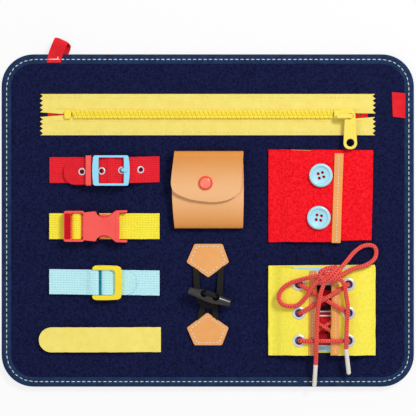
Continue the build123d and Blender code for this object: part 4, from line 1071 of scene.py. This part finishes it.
def spline_path(points, spacing):
    """The smooth line that a cord's route controls: its length and points at even steps."""
    curve = bpy.data.curves.new("route", "CURVE")
    curve.dimensions = "3D"
    curve.resolution_u = 24
    spline = curve.splines.new("NURBS")
    spline.points.add(len(points) - 1)
    for point, place in zip(spline.points, points):
        point.co = (*[value * MM for value in place], 1.0)
    spline.order_u = 3
    spline.use_endpoint_u = True
    holder = bpy.data.objects.new("route", curve)
    bpy.context.collection.objects.link(holder)
    bpy.context.view_layer.update()
    data = bpy.data.meshes.new_from_object(holder)
    path = [vert.co.copy() / MM for vert in data.vertices]
    bpy.data.objects.remove(holder)
    bpy.data.curves.remove(curve)
    bpy.data.meshes.remove(data)
    length = sum((b - a).length for a, b in zip(path, path[1:]))
    count = max(8, int(length / spacing))
    even, index, walked = [path[0]], 0, 0.0
    for number in range(1, count):
        target = length * number / count
        while walked + (path[index + 1] - path[index]).length < target:
            walked += (path[index + 1] - path[index]).length
            index += 1
        even.append(path[index].lerp(path[index + 1],
                                     (target - walked) / (path[index + 1] - path[index]).length))
    even.append(path[-1])
    return length, even


def flat_braid(route, width):
    """A flat braided cord that lies face up along its route."""
    bm = bmesh.new()
    run_layer, side_layer = bm.verts.layers.float.new("run"), bm.verts.layers.float.new("side")
    points = spline_path(route, 0.8)[1]
    steps = 6
    row = [bm.verts.new(points[0] + Vector((width * (i / steps - 0.5), 0, 0))) for i in range(steps + 1)]
    for number, vert in enumerate(row):
        vert[side_layer] = width * MM * number / steps
    edges = [bm.edges.new(pair) for pair in zip(row, row[1:])]
    run = 0.0
    before_way = (points[1] - points[0]).normalized()
    for number in range(1, len(points)):
        here = points[number]
        way = (points[min(number + 1, len(points) - 1)] - points[number - 1]).normalized()
        verts, edges = drawn_on(bm, edges, here - points[number - 1])
        bmesh.ops.rotate(bm, verts=verts, cent=here, matrix=before_way.rotation_difference(way).to_matrix())
        before_way = way
        run += (here - points[number - 1]).length * MM
        for vert in verts:
            vert[run_layer] = run
    lay_map(bm, run_layer, side_layer)
    return bm


def tucked(bm, outline):
    """Push the vertices of a flat cord that lie inside a patch's outline down under its leather."""
    middle = Vector((sum(x for x, _ in outline) / len(outline), sum(y for _, y in outline) / len(outline)))
    for vert in bm.verts:
        inside = True
        for (xa, ya), (xb, yb) in zip(outline, outline[1:] + outline[:1]):
            side = (xb - xa) * (vert.co.y - ya) - (yb - ya) * (vert.co.x - xa)
            centre = (xb - xa) * (middle.y - ya) - (yb - ya) * (middle.x - xa)
            inside = inside and side * centre > -1.2 * abs(centre) / 26
        if inside:
            vert.co.z = FACE + 0.25
    return bm


piece("toggle_loop", tucked(flat_braid(loop_route, 4.6), upper_patch), "board", "black_braid",
      ["toggle_loop_cord"], bevel=0.5, thick=1.9, sharp=0)
piece("toggle_anchors", joined(*[tucked(flat_braid(route, 4.6), lower_patch) for route in anchor_routes]),
      "board", "black_braid", ["toggle_anchor_cord"], bevel=0.5, thick=1.9, sharp=0)
TOGGLE = (1.3, -58.6, 14.45)
half_horn = [(0, 17.0), (1.9, 17.0), (2.7, 16.7), (3.0, 16.1), (3.05, 14.5), (3.3, 11.5), (3.85, 8.0),
             (4.2, 4.0), (4.3, 0)]
horn = spun(half_horn + [(r, -z) for r, z in reversed(half_horn[:-1])], 40)
placed(horn, 0, 0, 0, 90, "Y")
holes = [placed(placed(rod(2.9, -9, 9, 32), 0, 0, 0, -16, "X"), x, 0.5, 0) for x in (-4.7, 4.7)]
saddle = placed(placed(rod(1.3, -4.6, 4.6, 24), 0, 0, 0, 90, "Y"), 0, 2.2, 4.2)
horn = placed(placed(carved(horn, *holes, saddle), 0, 0, 0, -17), *TOGGLE)
piece("toggle_horn", horn, "toggle", "toggle_black", ["toggle_button"], bevel=0.3, sharp=35)


def tube(points, diameter, strands=4.0, lay=1.7, relief_share=0.07, sides=14, spacing=0.55):
    """A braided cord: a ring carried along the smooth path of its route, with the strands standing proud."""
    length, even = spline_path(points, spacing)
    bm = bmesh.new()
    run_layer, side_layer = bm.verts.layers.float.new("run"), bm.verts.layers.float.new("side")
    way = (even[1] - even[0]).normalized()
    turn = way.to_track_quat("Z", "X").to_matrix().to_4x4()
    ring = bmesh.ops.create_circle(bm, cap_ends=False, segments=sides, radius=1.0,
                                   matrix=Matrix.Translation(even[0]) @ turn)["verts"]
    girth = diameter * pi * MM
    for number, vert in enumerate(ring):
        vert[side_layer] = girth * number / sides
    edges = list(bm.edges)
    rings = [(even[0], ring)]
    run = 0.0
    for number in range(1, len(even)):
        here = even[number]
        after = even[min(number + 1, len(even) - 1)]
        fresh_way = (after - even[number - 1]).normalized()
        verts, edges = drawn_on(bm, edges, here - even[number - 1])
        bmesh.ops.rotate(bm, verts=verts, cent=here, matrix=way.rotation_difference(fresh_way).to_matrix())
        way = fresh_way
        run += (here - even[number - 1]).length * MM
        for vert in verts:
            vert[run_layer] = run
        rings.append((here, verts))
    for middle, verts in rings:
        for vert in verts:
            around = 2 * pi * strands * vert[side_layer] / girth
            along = 2 * pi * vert[run_layer] / (lay * MM)
            proud = max(sin(along + around), sin(along - around))
            radius = diameter / 2 * (1.03 + relief_share * 0.5 * proud)
            vert.co = middle + (vert.co - middle).normalized() * radius
    for end in (rings[0], rings[-1]):
        bmesh.ops.contextual_create(bm, geom=end[1])
    lay_map(bm, run_layer, side_layer, girth)
    bmesh.ops.recalc_face_normals(bm, faces=bm.faces)
    return bm, [point * MM for point in even[::3] + [even[-1]]], length * MM


bridge_route = [(-4.5, -0.2, -4.0), (-4.4, 1.6, 3.6), (-2.6, 2.3, 5.0), (2.6, 2.3, 5.0), (4.4, 1.6, 3.6),
                (4.5, -0.2, -4.0)]
bridge_mesh = tube(bridge_route, 2.7, 3.0, 1.6, 0.1)[0]
placed(placed(bridge_mesh, 0, 0, 0, -17), TOGGLE[0], TOGGLE[1], TOGGLE[2] - 0.1)
piece("toggle_bridge", bridge_mesh, "toggle", "black_braid", ["toggle_bridge_cord"], sharp=0)

# ---- button station ------------------------------------------------------------------------------
BASE_TOP = FACE + 1.6
FLAP_MIDDLE = BASE_TOP + 0.2 + 0.8
FLAP_SURFACE = FLAP_MIDDLE + 0.8


def thickened(bm, thick):
    """A cloth given its thickness for good, so that it can be cut."""
    made = object_of("cloth", mesh_of("cloth", bm))
    wall = made.modifiers.new("thickness", "SOLIDIFY")
    wall.thickness, wall.offset = thick, 0.0
    result = with_modifiers(made)
    cleared(made)
    return result


def felt_sheet(name, route, low, high, finish_name, replaced, slant=0.0, ripple=0.25, thick=1.6, strips=24,
               holes=(), drop=0.0):
    """A felt flap drawn along its XZ route between two Y edges, its far edge slanted."""
    middle, width = (low + high) / 2, high - low
    bm = band([(x, middle, z) for x, z in route], (0, 1, 0), width, strips, 3, 0.0)
    first, last = route[0][0], route[-1][0]
    for vert in bm.verts:
        share = (vert.co.x - first) / (last - first)
        down = (high - vert.co.y) / width
        vert.co.x += slant * share * down
        vert.co.y -= drop * max(0.0, share) * (1 - down) ** 3
        vert.co.y += ripple * noise.noise(Vector((vert.co.x * 0.09, 0.0, 3.0))) * 2.0
        vert.co.z += ripple * 0.6 * max(0.0, share) * noise.noise(vert.co * 0.07)
        vert.co.x += ripple * noise.noise(Vector((0.0, vert.co.y * 0.11, 7.0)))
    if not holes:
        return piece(name, bm, "board", finish_name, replaced, bevel=0.45, thick=thick, sharp=0)
    cutters = [placed(rod(3.5, 0, 30, 32), x, y, 0) for x, y in holes]
    return piece(name, carved(thickened(bm, thick), *cutters), "board", finish_name, replaced, bevel=0.4)


base_outline = [(80, 54.9), (128.2, 54.5), (127.6, 18.0), (126.8, -15.3), (104, -15.6), (80, -15.3)]
base = plate(base_outline, FACE, BASE_TOP, 0.5, 2)
piece("button_base_felt", base, "board", "red_felt", ["button_base_panel"], bevel=0.4)
tan_strip = plate([(66.6, -12), (79.4, -12), (81.4, 53.6), (81.2, 54.5), (64.0, 55.0)], FACE, FACE + 0.4, 0.3,
                  2)
piece("button_lining", tan_strip, "board", "tan_leather", ["printed_panels"], bevel=0.1)
flap_route = [(47.0, FACE + 0.8), (56.0, FACE + 0.8), (66.0, FLAP_MIDDLE), (104.8, FLAP_MIDDLE)]
button_flap = felt_sheet("button_flap_felt", flap_route, -16.6, 55.3, "red_felt", ["button_flap"], slant=-2.3,
                         drop=2.4)
trim_outline = [(98.0, 51.9), (104.9, 51.7), (103.7, 18.0), (102.6, -17.4), (95.6, -17.3), (96.8, 18.0)]
piece("button_trim", plate(trim_outline, FLAP_SURFACE, FLAP_SURFACE + 0.9, 0.5, 3), "board", "trim_leather",
      ["button_flap_trim"], bevel=0.3)
thread("button_trim_stitches", [((101.4, 50.6, FLAP_SURFACE + 0.95), (99.2, -16.4, FLAP_SURFACE + 0.95))],
       "board", width=0.85, pitch=2.3, dash=1.7)


def sewing_button(turn):
    """A four-hole button with a raised rim, turned and then drilled."""
    blank = spun([(0, 0), (7.4, 0), (8.7, 0.45), (9.1, 1.3), (8.95, 2.0), (8.3, 2.5), (7.5, 2.6), (6.8, 2.3),
                  (6.3, 1.55), (5.9, 1.3), (0, 1.4)], 72)
    drills = []
    for quarter in range(4):
        angle = radians(turn + 45 + 90 * quarter)
        drills.append(placed(rod(1.2, -1, 4, 24), 2.5 * cos(angle), 2.5 * sin(angle), 0))
    return carved(blank, *drills)


for which, x, y, turn in (("upper", 87.3, 34.9, 16.0), ("lower", 85.7, 2.2, -10.0)):
    piece(f"four_hole_button_{which}", placed(sewing_button(turn), x, y, FLAP_SURFACE + 0.3),
          f"button_{which}", "button_blue", [f"button_{which}"], bevel=0.15, sharp=35)
shanks = [placed(rod(1.0, 0, 2.05, 20), x, y, BASE_TOP) for x, y in ((87.5, 34.7), (85.9, 2.1))]
piece("button_thread_shanks", joined(*shanks), "board", "red_felt", ["button_shanks"])

# ---- lacing station ------------------------------------------------------------------------------
LACE_BASE_TOP = FACE + 1.0
PRINT_TOP = LACE_BASE_TOP + 0.3
UNDER_Z = PRINT_TOP + 0.1 + LACE / 2
LACE_FLAP_Z = UNDER_Z + LACE / 2 + 0.1 + 0.35 + 0.8
LACE_FLAP_TOP = LACE_FLAP_Z + 0.8
LACE_OVER_Z = LACE_FLAP_TOP + 0.9 + 0.4 + LACE / 2
KNOT_LOW = LACE_OVER_Z + LACE / 2 + 0.3
KNOT_Z = KNOT_LOW + 3.4
COLUMNS, ROWS = (70.3, 108.5), (-92.6, -71.3, -49.2)
base = plate([(46.9, -102.6), (46.9, -34.9), (129.6, -34.3), (129.8, -102.2)], FACE, LACE_BASE_TOP, 0.6, 3)
piece("lacing_base_felt", base, "board", "yellow_felt", ["lace_base_panel"], bevel=0.3)
print_bands = ((-101.0, -96.5, "print_sky"), (-96.5, -88.0, "print_wine"), (-88.0, -74.2, "lace_print"),
               (-74.2, -73.2, "print_pale"), (-73.2, -70.9, "print_wine"), (-70.9, -69.9, "print_pale"),
               (-69.9, -54.0, "lace_print"), (-54.0, -50.0, "print_ink"), (-50.0, -44.5, "print_pale"),
               (-44.5, -36.1, "print_sky"))
for number, (low, high, colour) in enumerate(print_bands):
    left, right = (66.0, 110.0) if high > -40 else (77.0, 102.0)
    stripe = plate(box_points(left, right, low, high), LACE_BASE_TOP, PRINT_TOP)
    piece(f"printed_band_{number}", stripe, "board", colour)
# side prints under the flaps: the print's blue darkened with painted shade, seen down the eyelets
for which, x0, x1 in (("left", 62.0, 77.0), ("right", 102.0, 117.0)):
    side_print = plate(box_points(x0, x1, -101.0, -44.6), LACE_BASE_TOP, PRINT_TOP)
    piece(f"printed_side_{which}", side_print, "board", "print_slate_painted_shade")
SEWN_Z = LACE_BASE_TOP + 0.8
for which, outer, edge, slant in (("left", 46.9, 84.0, 0.2), ("right", 129.7, 95.4, -0.6)):
    way = 1 if edge > outer else -1
    route = [(outer, SEWN_Z), (outer + way * 5, SEWN_Z), (outer + way * 12, LACE_FLAP_Z), (edge, LACE_FLAP_Z)]
    flap = felt_sheet(f"lacing_felt_{which}", route, -104.0, -35.7, "yellow_felt", [f"lace_flap_{which}"],
                      slant=slant, drop=3.0 if which == "left" else 2.4,
                      holes=[(COLUMNS[0] if which == "left" else COLUMNS[1], row) for row in ROWS])
trims = [plate([(77.6, -103.8), (78.5, -38.6), (83.8, -38.5), (82.9, -103.7)], LACE_FLAP_TOP,
               LACE_FLAP_TOP + 0.9, 0.5, 3),
         plate([(95.4, -103.8), (95.6, -38.1), (101.2, -38.0), (101.4, -103.4)], LACE_FLAP_TOP,
               LACE_FLAP_TOP + 0.9, 0.5, 3)]
piece("lacing_trims", joined(*trims), "board", "trim_leather", ["lace_trims"], bevel=0.3)
thread("lacing_trim_stitches", [((x, -102.6, LACE_FLAP_TOP + 0.95),
                                 (x + lean, -39.8, LACE_FLAP_TOP + 0.95)) for x,
                                lean in ((80.3, 0.9), (98.5, 0.0))],
       "board", width=0.9, pitch=2.5, dash=1.8)
rings = [placed(rolled_eyelet(3.1, 1.9, 1.7, 0.35), x, y, LACE_FLAP_Z) for x in COLUMNS for y in ROWS]
piece("lacing_rings", joined(*rings), "board", "silver", ["lace_eyelets"], sharp=50)
# discs raised into the eyelets in the same print blue with painted shade
backs = [placed(rod(3.3, 0.2, 0.0, 32), x, y, LACE_FLAP_Z - 1.3) for x in COLUMNS for y in ROWS]
piece("lacing_eyelet_backs", joined(*backs), "board", "print_slate_painted_shade")

# ---- lace ----------------------------------------------------------------------------------------
left_x, right_x, gap_x = COLUMNS[0] + 0.6, COLUMNS[1] - 0.6, 89.4
low_row, mid_row, top_row = ROWS
lace_route = [
    (gap_x - 1.8, -43.0, KNOT_LOW), (gap_x - 1.8, -44.0, UNDER_Z + 0.4),
    (left_x, top_row, UNDER_Z), (left_x, top_row, LACE_OVER_Z), (84.6, -57.4, LACE_OVER_Z),
    (gap_x, -60.2, LACE_OVER_Z - 1.9), (94.7, -63.4, LACE_OVER_Z), (right_x, mid_row, LACE_OVER_Z),
    (right_x, mid_row, UNDER_Z), (gap_x + 0.4, -82.0, UNDER_Z), (left_x, low_row, UNDER_Z),
    (left_x, low_row, LACE_OVER_Z), (gap_x, low_row, LACE_OVER_Z - 0.3), (right_x, low_row, LACE_OVER_Z),
    (right_x, low_row, UNDER_Z), (gap_x + 4.2, -84.4, UNDER_Z), (gap_x, -82.0, UNDER_Z + 4.6),
    (gap_x - 4.2, -79.6, UNDER_Z), (left_x, mid_row, UNDER_Z), (left_x, mid_row, LACE_OVER_Z),
    (81.2, -65.0, LACE_OVER_Z + 0.2), (gap_x, -60.2, LACE_OVER_Z + 2.7), (98.0, -55.3, LACE_OVER_Z + 0.2),
    (right_x, top_row, LACE_OVER_Z), (right_x, top_row, UNDER_Z),
    (gap_x + 2.4, -44.2, UNDER_Z + 0.4), (gap_x + 2.4, -43.0, KNOT_LOW)]
lace_mesh = tube(lace_route, LACE)[0]
piece("threaded_lace", lace_mesh, "board", "lace_braid", ["lace"], sharp=0)
bow_left = [(83.8, -41.9, KNOT_Z - 0.2), (78.0, -43.6, KNOT_Z - 0.6), (67.4, -46.2, LACE_OVER_Z + 0.4),
            (58.0, -50.6, LACE_OVER_Z - 0.4), (53.4, -59.2, LACE_OVER_Z - 0.8),
            (57.6, -65.6, LACE_OVER_Z - 0.6),
            (68.2, -66.2, LACE_OVER_Z + 0.2), (75.6, -59.0, LACE_OVER_Z + 2.6), (79.6, -50.6, KNOT_Z - 1.5),
            (84.6, -46.0, KNOT_Z - 0.8)]
bow_right = [(99.0, -39.0, KNOT_Z), (105.8, -32.0, KNOT_Z - 2.0), (113.0, -23.8, 10.8),
             (121.4, -18.6, 8.4), (130.2, -19.6, 8.0), (130.0, -29.2, 10.8),
             (121.6, -34.8, LACE_OVER_Z - 0.6),
             (110.0, -36.8, LACE_OVER_Z), (100.2, -43.0, KNOT_Z - 0.8)]
end_left = [(90.0, -45.6, KNOT_Z - 1.2), (86.6, -53.6, KNOT_Z + 0.8), (84.8, -63.0, KNOT_Z + 0.6),
            (83.8, -74.0, KNOT_Z - 1.6), (83.4, -85.6, LACE_OVER_Z + 3.6), (83.2, -95.6, LACE_OVER_Z + 3.4),
            (83.3, -104.0, LACE_OVER_Z + 0.3), (83.0, -111.2, LACE_OVER_Z - 1.3)]
end_right = [(99.6, -43.6, KNOT_Z - 0.6), (104.0, -46.4, KNOT_Z - 0.6), (106.0, -55.6, LACE_OVER_Z + 1.2),
             (107.6, -67.0, LACE_OVER_Z + 3.8), (106.6, -78.5, LACE_OVER_Z + 1.8),
             (106.2, -89.0, LACE_OVER_Z + 3.6), (106.2, -98.8, LACE_OVER_Z + 1.4)]


def free_lace(name, points, replaced):
    mesh, path, length = tube(points, LACE)
    made = piece(name, mesh, "board", "lace_braid", [replaced], sharp=0)
    return made


def aglet(route, length, towards):
    """A pressed plastic tip that carries on from the end of a lace."""
    end = Vector(route[-1])
    turn = (Vector(towards) - end).to_track_quat("Z", "Y").to_matrix()
    bm = spun([(0, -0.6), (1.62, -0.6), (1.72, 0), (1.72, 1.0), (1.66, 2.0), (1.7, length - 1.4),
               (1.5, length - 0.5), (1.0, length), (0, length)], 24)
    bmesh.ops.rotate(bm, verts=bm.verts, cent=(0, 0, 0), matrix=turn)
    bmesh.ops.translate(bm, verts=bm.verts, vec=end)
    return bm


tips = piece("lace_tips", joined(aglet(end_left, 17.4, (82.2, -128.6, 9.6)),
                                 aglet(end_right, 20.2, (108.8, -118.9, 12.2))), "board", "aglet_white",
             ["aglets"], sharp=50)
free_lace("bow_loop_left", bow_left, "lace_bow_left")
free_lace("bow_loop_right", bow_right, "lace_bow_right")
free_lace("lace_tail_left", end_left, "lace_end_left")
free_lace("lace_tail_right", end_right, "lace_end_right")


def bow_knot():
    """The crossed turns of lace drawn tight round the roots of the loops."""
    strands = [
        [(-8.0, -2.6, -0.6), (-6.4, 3.4, 0.6), (-2.2, 4.6, 1.2), (-0.6, -0.6, 1.6), (-3.0, -4.6, 0.4),
         (-7.0, -3.6, -0.6)],
        [(-3.6, -3.8, 0.2), (0.4, -1.0, 2.3), (4.4, 2.8, 2.1), (7.8, 4.4, 0.2)],
        [(-1.2, -5.0, 0.0), (2.6, -3.0, 2.2), (6.4, 0.6, 1.9), (9.4, 2.0, 0.0)],
        [(2.0, -5.2, 0.2), (6.0, -3.2, 1.5), (8.2, -1.6, 0.4)],
        [(-6.4, 2.8, -0.6), (-1.6, 5.2, -0.4), (3.8, 4.8, -0.6), (7.4, 4.4, -1.0)]]
    turns = [tube(route, LACE * 1.12)[0] for route in strands]
    core = tube([(-7.0, -1.6, -0.6), (-2.0, -0.6, -0.2), (3.0, 0.0, -0.4), (7.2, 1.2, -0.4)], 5.2)[0]
    return placed(placed(joined(core, *turns), 0, 0, 0, 12), 92.4, -41.6, KNOT_Z - 0.3)


piece("tied_knot", bow_knot(), "board", "lace_braid", ["lace_knot"], sharp=0)
